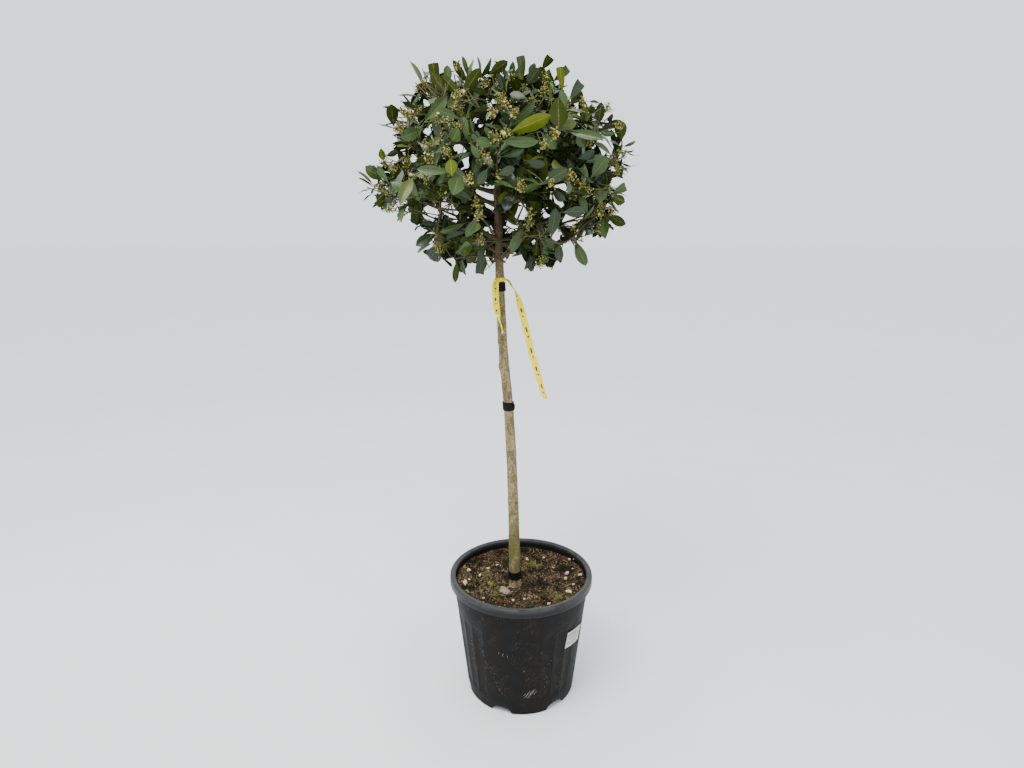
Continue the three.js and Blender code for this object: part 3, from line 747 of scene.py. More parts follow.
@dataclass
class Compost:
    """The compost: a rough surface under crumbs, chips of bark, moss and stones.

    Each stone and patch of moss is given by where it lies across and away from the viewer, and its width.
    """

    level: float = 321.0
    edge_rise: float = 8.0
    radius: float = 183.5
    steps: int = 150
    crumbs: int = 2300
    chips: int = 170
    moss: int = 1500
    stem_foot: tuple = (-17, -26)
    stem_clearance: float = 20.0
    stones: tuple = (
        (-151, 50, 12), (-158, -21, 14), (-147, -2, 8), (-118, 27, 8), (165, 96, 11), (146, 104, 7),
        (133, 33, 12), (128, 12, 9), (170, 22, 10), (152, 58, 6), (131, -62, 13), (147, -28, 7),
        (-70, 84, 7), (-96, 66, 9), (72, -120, 8), (20, 118, 9), (-60, -140, 8), (-22, -104, 8), (8, -96, 7),
        (44, -146, 10), (96, 70, 6), (-30, 150, 8), (70, 128, 7), (-104, -92, 7),
    )
    rock: tuple = (-46, -60, 27)
    moss_patches: tuple = ((-92, -20, 46), (-110, 46, 40), (-74, -66, 40), (40, 92, 40), (110, -84, 34))

    def _surface(self, x: float, y: float) -> float:
        """The height of the compost at a place."""
        radius = hypot(x, y)
        edge = self.edge_rise * max(0.0, (radius / self.radius - 0.72) / 0.28) ** 1.4
        rough = 2.2 * relief((x, y, 0), 46) + 1.3 * relief((x, y, 9), 17) + 0.8 * relief((x, y, 5), 6)
        return self.level - 1.5 + edge + rough * min(1.0, radius / 30)

    def _ground(self) -> Object:
        """The rough surface, closed below."""
        rings = [(0.0, self.level)] + [(self.radius * (i / 44) ** 0.9, self.level) for i in range(1, 45)]
        bm = spun(rings + [(self.radius - 9, self.level - 60), (0.0, self.level - 60)], self.steps)
        for vertex in bm.verts:
            if vertex.co.z > self.level - 1:
                vertex.co.z = self._surface(vertex.co.x, vertex.co.y)
        earth = Earth("compost_ground", srgb(20, 16, 10), srgb(92, 77, 54)).make()
        return modelled("compost_surface", bm, [earth], 80.0)

    def _litter(self, dice: np.random.Generator) -> Object:
        """Crumbs and chips of bark, joined."""
        crumb, chip = ball_pattern(), block_pattern()
        pile = Pile()
        for i in range(self.crumbs + self.chips):
            is_chip = i >= self.crumbs
            pattern, tilt = (chip, 0.35) if is_chip else (crumb, 3.0)
            place = self.radius * 0.985 * sqrt(dice.random())
            turn = dice.random() * 2 * pi
            x, y = place * cos(turn), place * sin(turn)
            if hypot(x - self.stem_foot[0], y - self.stem_foot[1]) < self.stem_clearance:
                continue
            if is_chip:
                size = dice.uniform((5, 2, 0.8), (15, 5, 2.2))
            else:
                size = dice.uniform(0.9, 3.2) * dice.uniform(0.6, 1.2, 3)
            points = (pattern.points * size) @ tumbled(dice, tilt).T
            spot = (x, y, self._surface(x, y) + size[2] * 0.3)
            dryness = 0.52 + 1.3 * relief((x, y, 77), 38) + 0.25 * dice.normal()
            pile.add(pattern, points + spot, int(np.clip(dryness * 3, 0, 2)))
        tones = (
            Earth("crumb_dark", srgb(18, 14, 9), srgb(50, 41, 27), 3),
            Earth("crumb_brown", srgb(56, 45, 28), srgb(98, 80, 54), 3),
            Earth("crumb_dry", srgb(98, 84, 60), srgb(150, 132, 100), 3),
        )
        return pile.build("compost_litter", [tone.make() for tone in tones])

    def _moss(self, dice: np.random.Generator) -> Object:
        """Low tufts of moss in patches."""
        tuft = ball_pattern()
        pile = Pile()
        for _ in range(self.moss):
            x, y, width = self.moss_patches[int(dice.integers(0, len(self.moss_patches)))]
            place = width * abs(dice.normal()) * 0.62
            turn = dice.random() * 2 * pi
            x, y = x + place * cos(turn), y + place * 0.8 * sin(turn)
            if relief((x, y, 31), 15) < -0.05 or hypot(x, y) > self.radius - 6:
                continue
            size = dice.uniform(1.0, 2.6) * dice.uniform((0.8, 0.8, 0.5), (1.4, 1.4, 0.9))
            points = (tuft.points * size) @ tumbled(dice, 0.5).T
            pile.add(tuft, points + (x, y, self._surface(x, y) + 0.8), int(dice.random() < 0.4))
        green = Matte("moss_green", srgb(76, 78, 30), srgb(108, 106, 46), 3, 0.9, 0.6).make()
        dull = Matte("moss_dull", srgb(60, 54, 27), srgb(88, 78, 40), 3, 0.9, 0.6).make()
        return pile.build("compost_moss", [green, dull])

    def _stones(self, dice: np.random.Generator) -> Object:
        """The pebbles, and the one large stone in front of the stem."""
        pebble = ball_pattern(2)
        pile = Pile()
        for stone in (*self.stones, self.rock):
            x, y, width = stone
            size = width * 0.56 * dice.uniform((0.95, 0.6, 0.45), (1.2, 0.9, 0.75))
            lumps = 1 + 0.5 * np.array([relief(p, 0.62) for p in pebble.points + x])
            points = (pebble.points * lumps[:, None] * size) @ tumbled(dice, 0.6).T
            pile.add(pebble, points + (x, y, self._surface(x, y) + size[2] * 0.45), int(stone is self.rock))
        pale = Matte("pebble_pale", srgb(226, 213, 182), srgb(172, 154, 122), 4, 0.75, 0.3).make()
        rosy = Matte("stone_rosy", srgb(156, 138, 124), srgb(104, 90, 80), 6, 0.8, 0.5).make()
        return pile.build("compost_stones", [pale, rosy])

    def build(self) -> None:
        """Makes all that lies in the pot."""
        dice = np.random.default_rng(20)
        for item in (self._ground(), self._litter(dice), self._moss(dice), self._stones(dice)):
            declare(item, "compost", "compost")


def ball_pattern(subdivisions: int = 1) -> Pattern:
    """A ball of unit radius."""
    bm = bmesh.new()
    ops.create_icosphere(bm, subdivisions=subdivisions, radius=1.0)
    return Pattern.taken_from(bm)


def bead_pattern() -> Pattern:
    """A bead of unit radius with few faces."""
    bm = bmesh.new()
    ops.create_uvsphere(bm, u_segments=5, v_segments=2, radius=1.0)
    return Pattern.taken_from(bm)


def block_pattern() -> Pattern:
    """A block of unit size with its long edges bevelled."""
    bm = bmesh.new()
    ops.create_cube(bm, size=1.0)
    ops.bevel(
        bm, geom=bm.edges[:], offset=0.18, segments=1, profile=0.5, affect="EDGES", material=-1
    )
    return Pattern.taken_from(bm)


def tumbled(dice: np.random.Generator, tilt: float) -> Array:
    """A random turn about +Z, and a lean of up to a tilt in radians, as a matrix."""
    a, b, c = dice.random() * 2 * pi, dice.uniform(-tilt, tilt), dice.uniform(-tilt, tilt)
    about_z = np.array([[cos(a), -sin(a), 0], [sin(a), cos(a), 0], [0, 0, 1]])
    about_y = np.array([[cos(b), 0, sin(b)], [0, 1, 0], [-sin(b), 0, cos(b)]])
    about_x = np.array([[1, 0, 0], [0, cos(c), -sin(c)], [0, sin(c), cos(c)]])
    return about_z @ about_y @ about_x


def on_curve(known: Array, spot: float) -> Array:
    """A place on the smooth curve through known points, at a point's number and a share of the next step."""
    ends = np.vstack([2 * known[0] - known[1], known, 2 * known[-1] - known[-2]])
    i, t = int(spot), spot - int(spot)
    before, start, end, after = ends[i : i + 4]
    pull, push = (end - before) / 2, (after - start) / 2
    cube = 2 * start - 2 * end + pull + push
    square = -3 * start + 3 * end - 2 * pull - push
    return start + pull * t + square * t**2 + cube * t**3


def smooth_path(points: tuple, count: int) -> Array:
    """Evenly numbered places on a smooth curve through known points."""
    known = np.array(points, dtype=float)
    return np.array([on_curve(known, spot) for spot in np.linspace(0, len(known) - 1 - 1e-6, count)])


class StemLine:
    """The stem's centre line and girth from the compost to its tip, by the source's curve."""

    points = (
        (-17, -26, 321), (-22, -24, 560), (-33, -19, 813), (-48, -14, 985), (-56, -10, 1167),
        (-60, -7, 1320), (-62, -5, 1448),
    )
    foot, clear_top, tip = 321.0, 1167.0, 1448.0
    foot_radius, flare, flare_height, top_radius, tip_radius = 16.2, 1.8, 40.0, 11.2, 7.5

    def __init__(self) -> None:
        """Samples the curve, which only rises."""
        last = len(self.points) - 1
        known = np.array(self.points, dtype=float)
        self.table = np.array([on_curve(known, min(s * last, last - 1e-9)) for s in np.linspace(0, 1, 601)])

    def at(self, height: float) -> Array:
        """The stem's centre at a height."""
        return np.array([*self.across(height), min(max(height, self.foot), self.tip)])

    def across(self, height: float | Array) -> tuple:
        """Where the stem's centre lies across and away from the viewer, at one or many heights."""
        return tuple(np.interp(height, self.table[:, 2], self.table[:, i]) for i in (0, 1))

    def radius(self, height: float) -> float:
        """The stem's radius at a height."""
        flared = self.flare * max(0.0, 1 - (height - self.foot) / self.flare_height) ** 2
        if height < self.clear_top:
            share = max(0.0, (height - self.foot) / (self.clear_top - self.foot))
            return lerp(self.foot_radius, self.top_radius, share**0.8) + flared
        share = min(1.0, (height - self.clear_top) / (self.tip - self.clear_top))
        return lerp(self.top_radius, self.tip_radius, share)


@dataclass
class Head:
    """The head's outline: a rounded oval with its lobes, hollows and the sprigs that break it.

    Each lobe is given by the angle at which it shows from the front, its swell as a share, and its spread.
    """

    centre: Array = field(default_factory=lambda: np.array([-62.0, -5.0, 1422.0]))
    half_width: float = 340.0
    half_height: float = 262.0
    power: float = 2.1
    lobes: tuple = (
        (47, -0.09, 13), (130, 0.13, 7), (142, -0.08, 6), (169, -0.2, 7), (215, -0.24, 10), (250, 0.14, 9),
        (280, -0.17, 8), (308, 0.1, 7), (321, -0.14, 6),
    )
    sprigs: tuple = (
        (-346, -30, 1400), (-238, -10, 1606), (222, -20, 1466), (168, -20, 1546), (210, -45, 1346),
        (148, -50, 1262), (-104, -70, 1246),
    )

    def reach(self, direction: Array) -> Array:
        """How far the head reaches from its centre along one or many unit vectors."""
        x, y, z = direction[..., 0], direction[..., 1], direction[..., 2]
        flat = np.hypot(x, y) / self.half_width
        oval = (flat**self.power + np.abs(z / self.half_height) ** self.power) ** (-1 / self.power)
        sideways = x**2 + z**2
        angle = np.degrees(np.arctan2(z, x))
        swell = np.ones_like(oval)
        for middle, rise, spread in self.lobes:
            swell = swell + rise * sideways * np.exp(-((off_nearest(angle, middle) / spread) ** 2))
        return oval * swell

    def outward(self, spot: Array) -> Array:
        """The direction of a spot from the head's centre."""
        return unit(spot - self.centre)

    def holds(self, spots: Array, stray: float, near: float) -> Array:
        """Which of many spots lie in a share of the head, or as near as a distance to one of its sprigs."""
        out = spots - self.centre
        distance = norm(out, axis=-1)
        inside = distance <= self.reach(out / np.maximum(distance, 1e-6)[..., None]) * stray
        for sprig in self.sprigs:
            inside |= norm(spots - np.array(sprig), axis=-1) < near
        return inside


@dataclass(frozen=True)
class Tier:
    """One tier of boughs: their number, bearings and elevation, and where they leave the stem."""

    name: str
    count: int
    first_bearing: float
    step: float
    elevation: float
    leaves: float
    spacing: float
    girth: float


@dataclass
class Mass:
    """One mass of foliage: its middle, and the bough that carries it."""

    name: str
    middle: Array
    girth: float
    path: Array  # the bough's three control points


@dataclass
class Twig:
    """One twig of the source's rule, straight there and a little bowed here."""

    start: Array
    end: Array
    number: int
    girth: float
    order: int
    run: float
    bow: Array = field(default_factory=lambda: np.zeros(3))

    def at(self, share: float) -> Array:
        """The straight twig's place at a share of its length."""
        return self.start + (self.end - self.start) * share

    def bowed(self, share: float) -> Array:
        """The bowed twig's place at a share of its length."""
        return self.at(share) + self.bow * sin(pi * share)


def bezier(path: Sequence[Array], share: float) -> Array:
    """A place on a curve of three control points."""
    start, bend, end = path
    return start * (1 - share) ** 2 + bend * 2 * share * (1 - share) + end * share**2


def bezier_path(path: Sequence[Array], count: int) -> Array:
    """Evenly numbered places on a curve of three control points."""
    return np.array([bezier(path, share) for share in np.linspace(0, 1, count)])


class GrowthPlan:
    """The source's rule of growth: the boughs, the masses they carry and the twigs of each mass."""

    tiers = (
        Tier("lower", 5, -28, 61, -30, 1224, 15, 6.4),
        Tier("middle", 6, -92, 60, 6, 1306, 15, 6.2),
        Tier("upper", 4, -62, 90, 48, 1398, 13, 5.2),
    )
    mass_share, reach_share, sag, tip_girth = 0.6, 0.56, 0.16, 3.9
    shoots, lowest, least_inset, most_inset = 80, -0.86, 56.0, 120.0
    girths = (3.6, 2.5, 2.1)
    window_half, window_foot, window_top = 24.0, 1067, 1325

    def __init__(self, stem: StemLine, head: Head) -> None:
        """Lays out the masses and grows the twigs of each."""
        self.stem, self.head = stem, head
        self.masses = [*self._tier_masses(), self._top_mass()]
        self.twigs = [self._grow(mass, tips) for mass, tips in zip(self.masses, self._spread())]

    def _tier_masses(self) -> Iterable[Mass]:
        """The masses of the three tiers."""
        for tier in self.tiers:
            for i in range(tier.count):
                direction = heading(tier.first_bearing + i * tier.step, tier.elevation)
                middle = self.head.centre + direction * self.mass_share * float(self.head.reach(direction))
                order = (i * 2) % tier.count + (1 if tier.count % 2 == 0 and i * 2 >= tier.count else 0)
                root = self.stem.at(tier.leaves + order * tier.spacing)
                tip = root + (middle - root) * self.reach_share
                bend = (root + tip) / 2 - UP * self.sag * norm(tip - root)
                yield Mass(f"{tier.name}_{i + 1}", middle, tier.girth, np.array([root, bend, tip]))

    def _top_mass(self) -> Mass:
        """The mass over the stem's own tip."""
        above = self.head.centre + UP * self.mass_share * float(self.head.reach(UP))
        start = self.stem.at(self.stem.tip) + UP * 0.3
        end = start + (above - start) * 0.4
        return Mass("top", above, self.stem.tip_radius * 0.85, np.array([start, (start + end) / 2, end]))

    def in_window(self, spots: Array) -> Array:
        """Which of many spots would hide the stem where it shows under the head."""
        height = spots[..., 2]
        x, y = self.stem.across(height)
        beside = np.abs(spots[..., 0] - x) < self.window_half
        return (height <= self.window_top) & (height >= self.window_foot) & (spots[..., 1] < y) & beside

    def _nearest(self, spot: Array) -> int:
        """The number of the mass nearest to a spot."""
        return int(np.argmin([norm(spot - mass.middle) for mass in self.masses]))

    def _spread(self) -> list[list[tuple[Array, int]]]:
        """The shoot tips, spread over the head by the golden angle and given to the nearest masses."""
        groups: list[list[tuple[Array, int]]] = [[] for _ in self.masses]
        for i, sprig in enumerate(self.head.sprigs):
            spot = np.array(sprig, dtype=float)
            groups[self._nearest(spot)].append((spot, self.shoots + i))
        for number in range(self.shoots):
            rise = lerp(0.995, self.lowest, number / (self.shoots - 1))
            direction = heading(number * GOLDEN_ANGLE, degrees(asin(rise)))
            inset = lerp(self.least_inset, self.most_inset, chance(number, 1) ** 1.5)
            spot = self.head.centre + direction * (float(self.head.reach(direction)) - inset)
            if not self.in_window(spot):
                groups[self._nearest(spot)].append((spot, number))
        return groups

    def _grow(self, mass: Mass, tips: list[tuple[Array, int]]) -> list[Twig]:
        """One mass's twigs: a leader on from the bough, and each other tip joined to its best fork."""
        forward = unit(mass.path[2] - mass.path[1])
        start = mass.path[2] - forward * self.girths[0]
        leader = max(tips, key=lambda tip: float(np.dot(tip[0] - start, forward)))
        others = [tip for tip in tips if tip is not leader]
        others.sort(key=lambda tip: length_of(tip[0] - start))
        twigs = [Twig(start, leader[0], leader[1], self.girths[0], 0, 0.0)]
        for spot, number in others:
            parent, share = self._best_fork(twigs, spot)
            order = min(parent.order + 1, len(self.girths) - 1)
            run = parent.run + share * length_of(parent.end - parent.start)
            twig = Twig(parent.at(share), spot, number, self.girths[order], order, run)
            twigs.append(twig)
        return twigs

    @staticmethod
    def _best_fork(twigs: list[Twig], spot: Array) -> tuple[Twig, float]:
        """The fork that reaches a spot by a short way, without a sharp turn."""
        best = (inf, twigs[0], 0.0)
        for twig in twigs:
            along = twig.end - twig.start
            length = length_of(along)
            share = 0.12
            while share < 0.7:
                branch = spot - twig.at(share)
                size = length_of(branch)
                turn = 1 - float(np.dot(branch, along)) / (size * length)
                cost = size * (1 + 1.1 * turn) + 0.5 * (twig.run + share * length)
                if cost < best[0]:
                    best = (cost, twig, share)
                share += 0.07
        return best[1], best[2]


def tube_points(path: Array, radii: Array, sides: int) -> Array:
    """Rings of points round a path.

    Args:
        path: the points of its centre line.
        radii: the radius at each.
        sides: the number of points in a ring.

    Returns:
        The points, ring by ring.
    """
    tangents = np.gradient(path, axis=0)
    tangents /= norm(tangents, axis=1)[:, None]
    across = square_to(tangents[0])[0]
    turns = np.linspace(0, 2 * pi, sides, endpoint=False)
    rings = []
    for centre, tangent, radius in zip(path, tangents, radii):
        across = unit(across - tangent * np.dot(across, tangent))
        over = cross(tangent, across)
        rings.append(centre + radius * (np.outer(np.cos(turns), across) + np.outer(np.sin(turns), over)))
    return np.concatenate(rings)


def tube_faces(rings: int, sides: int) -> Pattern:
    """The faces of a tube with flat ends, for points laid ring by ring."""
    ring, side = np.divmod(np.arange((rings - 1) * sides), sides)
    following = (side + 1) % sides
    quads = np.stack([ring * sides + side, ring * sides + following], axis=1)
    quads = np.hstack([quads, quads[:, ::-1] + sides])
    ends = np.concatenate([np.arange(sides)[::-1], (rings - 1) * sides + np.arange(sides)])
    corners = np.concatenate([quads.ravel(), ends])
    sizes = np.concatenate([np.full(len(quads), 4), [sides, sides]])
    return Pattern(np.zeros((rings * sides, 3)), corners, sizes, np.zeros(len(sizes), int))


@dataclass
class Limbs:
    """The stem and its boughs, with the relief of their bark.

    Each knot is a swelling, given by its height, the bearing it faces, its size and how far it stands out.
    """

    stem: StemLine
    plan: GrowthPlan
    stem_sides: int = 44
    stem_rows: int = 330
    bough_sides: int = 14
    bough_rows: int = 26
    knots: tuple = (
        (946, -165, 15, 3.2), (900, -100, 16, 2.0), (1010, -150, 11, 1.6), (655, -120, 12, 1.5),
        (606, -60, 11, 2.6), (470, -150, 14, 1.4), (700, -40, 10, 1.3), (760, -140, 12, 1.2),
        (936, -100, 26, 1.6), (1040, -70, 12, 1.6), (1108, -130, 10, 1.4), (520, 60, 13, 1.8),
        (820, 100, 12, 1.7),
    )

    def _surface(self, height: float, bearing: float, outward: Array) -> float:
        """The bark's rise over the stem's plain radius at a place on it."""
        spot = outward * 14 + UP * height
        rough = 0.55 * relief(spot * (1, 1, 0.3), 9) + 0.3 * relief(spot * (1, 1, 0.7), 4)
        rough += 0.5 * relief((0, 3, height), 46)
        for level, side, size, rise in self.knots:
            around = radians(off_nearest(bearing, side)) * 13
            rough += rise * exp(-((hypot(height - level, around) / size) ** 2) * 2.2)
        return rough

    def _stem(self) -> Object:
        """The stem as a grid wrapped round its centre line."""
        bm = bmesh.new()
        ops.create_grid(bm, x_segments=self.stem_sides, y_segments=self.stem_rows, size=0.5)
        for vertex in bm.verts:
            bearing = 360 * (vertex.co.x + 0.5) % 360
            height = lerp(self.stem.foot + 0.3, self.stem.tip, vertex.co.y + 0.5)
            outward = heading(bearing)
            radius = self.stem.radius(height) + self._surface(height, bearing, outward)
            vertex.co = self.stem.at(height) * (1, 1, 0) + UP * height + outward * radius
        ops.remove_doubles(bm, verts=bm.verts[:], dist=1e-4)
        rims = [edge for edge in bm.edges if edge.is_boundary]
        ops.holes_fill(bm, edges=rims, sides=0)
        bark = Bark("stem_bark", srgb(172, 155, 116), srgb(70, 56, 33), srgb(86, 82, 36), (410, 620))
        return modelled("stem_bark", bm, [bark.make()], 75.0)

    def _bough(self, mass: Mass, pile: Pile, faces: Pattern) -> None:
        """One bough, thickened where it leaves the stem, added to the pile."""
        shares = np.linspace(0, 1, self.bough_rows)
        path = bezier_path(mass.path, self.bough_rows)
        collar = 3.4 * np.exp(-((shares / 0.16) ** 2)) if mass.name != "top" else 0.0
        radii = mass.girth + (self.plan.tip_girth - mass.girth) * shares + collar
        points = tube_points(path, radii, self.bough_sides)
        lift = np.array([0.45 * relief(point, 7) + 0.25 * relief(point, 3) for point in points])
        centres = np.repeat(path, self.bough_sides, axis=0)
        outward = points - centres
        outward /= norm(outward, axis=1)[:, None]
        pile.add(faces, points + outward * lift[:, None])

    def build(self) -> None:
        """Makes the stem and the joined boughs."""
        declare(self._stem(), "bark", "stem")
        pile = Pile()
        faces = tube_faces(self.bough_rows, self.bough_sides)
        for mass in self.plan.masses:
            self._bough(mass, pile, faces)
        bark = Bark("bough_bark", srgb(108, 92, 60), srgb(62, 50, 30), srgb(74, 72, 38), (1100, 1500))
        names = [f"bough_{mass.name}" for mass in self.plan.masses]
        declare(pile.build("boughs", [bark.make()], 75.0), "bough_bark", *names)


@dataclass
class Band:
    """A black rubber band round the stem."""

    name: str
    height: float
    width: float
    tilt: float = 0.0
    thickness: float = 2.2
    steps: int = 72
    buckle: bool = False

    def _profile(self) -> list[tuple[float, float]]:
        """The band's section: flat inside, rounded outside, with a shallow groove round its middle."""
        half, out = self.width / 2, self.thickness
        edge = arc((out - 0.9, half - 0.9), 0.9, 0, 90, 4)
        upper = [(out - 0.35, 0.0), (out - 0.3, 1.0), (out, 2.2), (out, half - 2.0), *edge, (0.0, half)]
        lower = [(x, -z) for x, z in reversed(upper[1:])]
        return lower + upper

    def build(self, stem: StemLine, rubber: Material) -> None:
        """Makes the band, which follows the stem's lean and taper."""
        base = stem.radius(self.height) + 0.5
        bm = spun([(base + out, rise) for out, rise in self._profile()], self.steps)
        for vertex in bm.verts:
            radius = hypot(vertex.co.x, vertex.co.y)
            sway = 0.35 * relief(vertex.co, 15)
            z = vertex.co.z + self.height + tan(radians(self.tilt)) * vertex.co.y
            fitted = (radius + sway + stem.radius(z) - stem.radius(self.height)) / radius
            centre = stem.at(z)
            vertex.co = (vertex.co.x * fitted + centre[0], vertex.co.y * fitted + centre[1], z)
        if self.buckle:
            self._add_buckle(bm, stem)
        declare(modelled(f"{self.name}_rubber", bm, [rubber], 40.0), "band_rubber", self.name)

    def _add_buckle(self, bm: BMesh, stem: StemLine) -> None:
        """A small moulded catch that stands out of the band on its right side."""
        made = ops.create_cube(bm, size=1.0)["verts"]
        edges = list({edge for vertex in made for edge in vertex.link_edges})
        ops.scale(bm, vec=(5.0, 7.0, 13.0), verts=made)
        made = ops.bevel(
            bm, geom=edges, offset=1.1, segments=2, profile=0.5, affect="EDGES", material=-1
        )["verts"]
        side = heading(-28) * (stem.radius(self.height) + 3.0) + stem.at(self.height)
        ops.rotate(bm, matrix=_turn_z(-28), verts=made)
        ops.translate(bm, vec=side, verts=made)


def _turn_z(bearing: float) -> Matrix:
    """A turn about +Z, in degrees."""
    return Matrix.Rotation(radians(bearing), 3, "Z")


@dataclass
class Tape:
    """The plastic tape: a crumpled wrap over the highest band, a long tail and a short one on the left."""

    width: float = 17.0
    thickness: float = 0.45
    wrap_height: float = 1169.0
    wrap_width: float = 9.0
    tail: tuple = (
        (-46, -21, 1172), (-33, -27, 1165), (-20, -30, 1146), (-9, -31, 1118), (1, -31, 1082),
        (13, -31, 1036), (24, -30, 988), (36, -30, 946), (48, -29, 904), (61, -28, 862),
    )
    loop: tuple = (
        (-61, -20, 1173), (-66, -27, 1160), (-67, -31, 1140), (-65, -32, 1100), (-59, -31, 1075),
        (-52, -31, 1054), (-48, -30, 1036),
    )

    def _strip(self, name: str, points: tuple, turns: tuple[float, ...], waist: float) -> None:
        """One free strip, cupped along its length and a little rippled.

        Args:
            name: the frame's node that it replaces.
            points: places along it.
            turns: the bearings that its width follows in turn from its start to its end, in degrees.
            waist: how much narrower it is where it is pulled into the knot, as a share.
        """
        rows, columns = 96, 8
        path = smooth_path(points, rows + 1)
        tangents = np.gradient(path, axis=0)
        bm = bmesh.new()
        ops.create_grid(bm, x_segments=columns, y_segments=rows, size=0.5)
        for face in bm.faces:
            middle = face.calc_center_median()
            row, column = int((middle.y + 0.5) * rows), int((middle.x + 0.5) * columns)
            face.material_index = int(column in (3, 4) and row > 10 and row % 12 in (2, 3, 4, 7))
        for vertex in bm.verts:
            share = vertex.co.y + 0.5
            row = round(share * rows)
            forward = unit(tangents[row])
            turn = heading(float(np.interp(share, np.linspace(0, 1, len(turns)), turns)))
            flat = unit(turn - forward * np.dot(turn, forward))
            out = cross(flat, forward)
            width = self.width * (1 - waist * exp(-share * 9))
            cup = 1.5 * (1 - 4 * vertex.co.x**2) + 0.9 * sin(share * 23 + vertex.co.x * 5)
            vertex.co = path[row] + flat * vertex.co.x * width + out * cup
        ops.solidify(bm, geom=bm.faces[:], thickness=self.thickness)
        ink = Matte("tape_ink", srgb(34, 32, 26), srgb(58, 54, 38), 5, 0.45, 0.1).make()
        item = modelled(f"{name}_strip", bm, [self.plastic, ink], 60.0)
        declare(item, "tape_plastic", name)

    def _wrap(self, stem: StemLine) -> None:
        """Two turns of tape round the stem, pulled tight and crumpled."""
        half = self.wrap_width / 2
        profile = [(0.0, -half), (1.4, -half), (2.2, -half * 0.3), (1.7, 0.2)]
        profile += [(2.3, half * 0.4), (1.4, half), (0.0, half)]
        base = stem.radius(self.wrap_height) + 0.5
        bm = spun([(base + out, rise) for out, rise in profile], 96)
        upright = [edge for edge in bm.edges if abs(edge.verts[0].co.z - edge.verts[1].co.z) > 1]
        ops.subdivide_edges(bm, edges=upright, cuts=2)
        centre = stem.at(self.wrap_height)
        for vertex in bm.verts:
            x, y, z = vertex.co
            radius = hypot(x, y)
            fold = 0.7 * relief((x, y, z * 3.2), 5) if radius > base + 0.5 else 0.0
            grown = (radius + fold) / radius
            tilt = 0.12 * x
            vertex.co = (x * grown + centre[0], y * grown + centre[1], z + tilt + self.wrap_height)
        declare(modelled("tape_wrap_folds", bm, [self.plastic], 50.0), "tape_plastic", "tape_wrap")

    def build(self, stem: StemLine) -> None:
        """Makes the wrap and both strips."""
        self.plastic = TapePlastic().make()
        self._wrap(stem)
        self._strip("tape_tail", self.tail, (40, 70, 84, 30, -6, -10, -14, -18, -30, -40), 0.4)
        self._strip("tape_loop", self.loop, (150, 172, 180, 176, 118, 96, 64), 0.3)


@dataclass(frozen=True)
class LeafShape:
    """One leaf's form and how it bends: shares of its length or, for the fold, of its half width."""

    form: LeafForm
    width: float
    droop: float
    fold: float
    wave: float
    twist: float = 0.0
    columns: tuple[float, ...] = (-1.0, -0.56, -0.045, 0.045, 0.56, 1.0)

    def _half_width(self, share: float) -> float:
        """The outline's half width at a share of the length."""
        if share < 0.09:
            return 0.012 + 0.01 * share
        along = min((share - 0.09) / 0.91, 0.9999)
        if self.form is LeafForm.POINTED:
            half = self.width / 2 * sin(pi * along**0.95) ** 0.85
        else:
            half = self.width / 2 * sin(pi * along**1.22) ** 0.6
        if self.form is LeafForm.SPINED:
            half *= 1 + 0.26 * (abs((along * 3.5) % 1 - 0.5) * 2 - 0.5)
        return max(half, 0.006)

    def _spot(self, column: float, row_share: float) -> tuple[float, float, float]:
        """Where a column of the blade lies at a share of the blade's rows."""
        share = row_share * (0.7 if self.form is LeafForm.CUT else 1.0)
        half = self._half_width(share)
        rise = self.fold * abs(column) * half
        phase = 1.3 if column > 0 else 0.2
        rise += self.wave * abs(column) * sin(share * 11 + phase) * min(1, share * 4)
        if self.form is LeafForm.SPINED:
            rise += 0.022 * abs(column) ** 3 * cos(share * 22)
        bend = self.droop * share**2
        turn = self.twist * share
        x, z = column * half, rise
        x, z = x * cos(turn) - z * sin(turn), x * sin(turn) + z * cos(turn)
        return x, share * (1 - 0.35 * abs(self.droop) * share), z - bend

    def pattern(self) -> Pattern:
        """The leaf as a thin closed blade of unit length along +Y, its upper face towards +Z."""
        rows = 13 if self.form is LeafForm.SPINED else 7
        bm = bmesh.new()
        ops.create_grid(bm, x_segments=5, y_segments=rows, size=0.5)
        for face in bm.faces:
            face.material_index = int(abs(face.calc_center_median().x) < 0.05)
        for vertex in bm.verts:
            column = self.columns[round((vertex.co.x + 0.5) * 5)]
            share = vertex.co.y + 0.5
            vertex.co = self._spot(column, share + 0.06 * sin(pi * share) * (2 * share - 0.6))
        rim = {vertex for vertex in bm.verts if vertex.is_boundary}
        made = ops.duplicate(bm, geom=bm.verts[:] + bm.edges[:] + bm.faces[:])
        under = [item for item in made["geom"] if isinstance(item, bmesh.types.BMFace)]
        ops.reverse_faces(bm, faces=under)
        for vertex, copy in made["vert_map"].items():
            if copy in made["geom"] and vertex not in rim and copy not in rim:
                copy.co.z -= 0.007
        for face in under:
            face.material_index += 2
        ops.remove_doubles(bm, verts=bm.verts[:], dist=1e-5)
        return Pattern.taken_from(bm)


@dataclass(frozen=True)
class LeafColors:
    """The colours of one tint's leaves, on their upper face, ribs and underside."""

    tint: Tint
    top: tuple
    rib: tuple
    under: tuple
    roughness: float

    def make(self) -> list[Material]:
        """The four materials, in the order of a leaf pattern's marks."""
        name = f"leaf_{self.tint.value}"
        lighter = lightened(self.under, 1.25)
        return [
            LeafTop(name, self.top, self.roughness).make(),
            Matte(f"{name}_rib", self.rib, self.rib, 5, 0.45, 0.1).make(),
            Matte(f"{name}_under", self.under, lighter, 16, 0.62, 0.15, 0.08).make(),
            Matte(f"{name}_under_rib", lighter, self.rib, 5, 0.6, 0.1).make(),
        ]


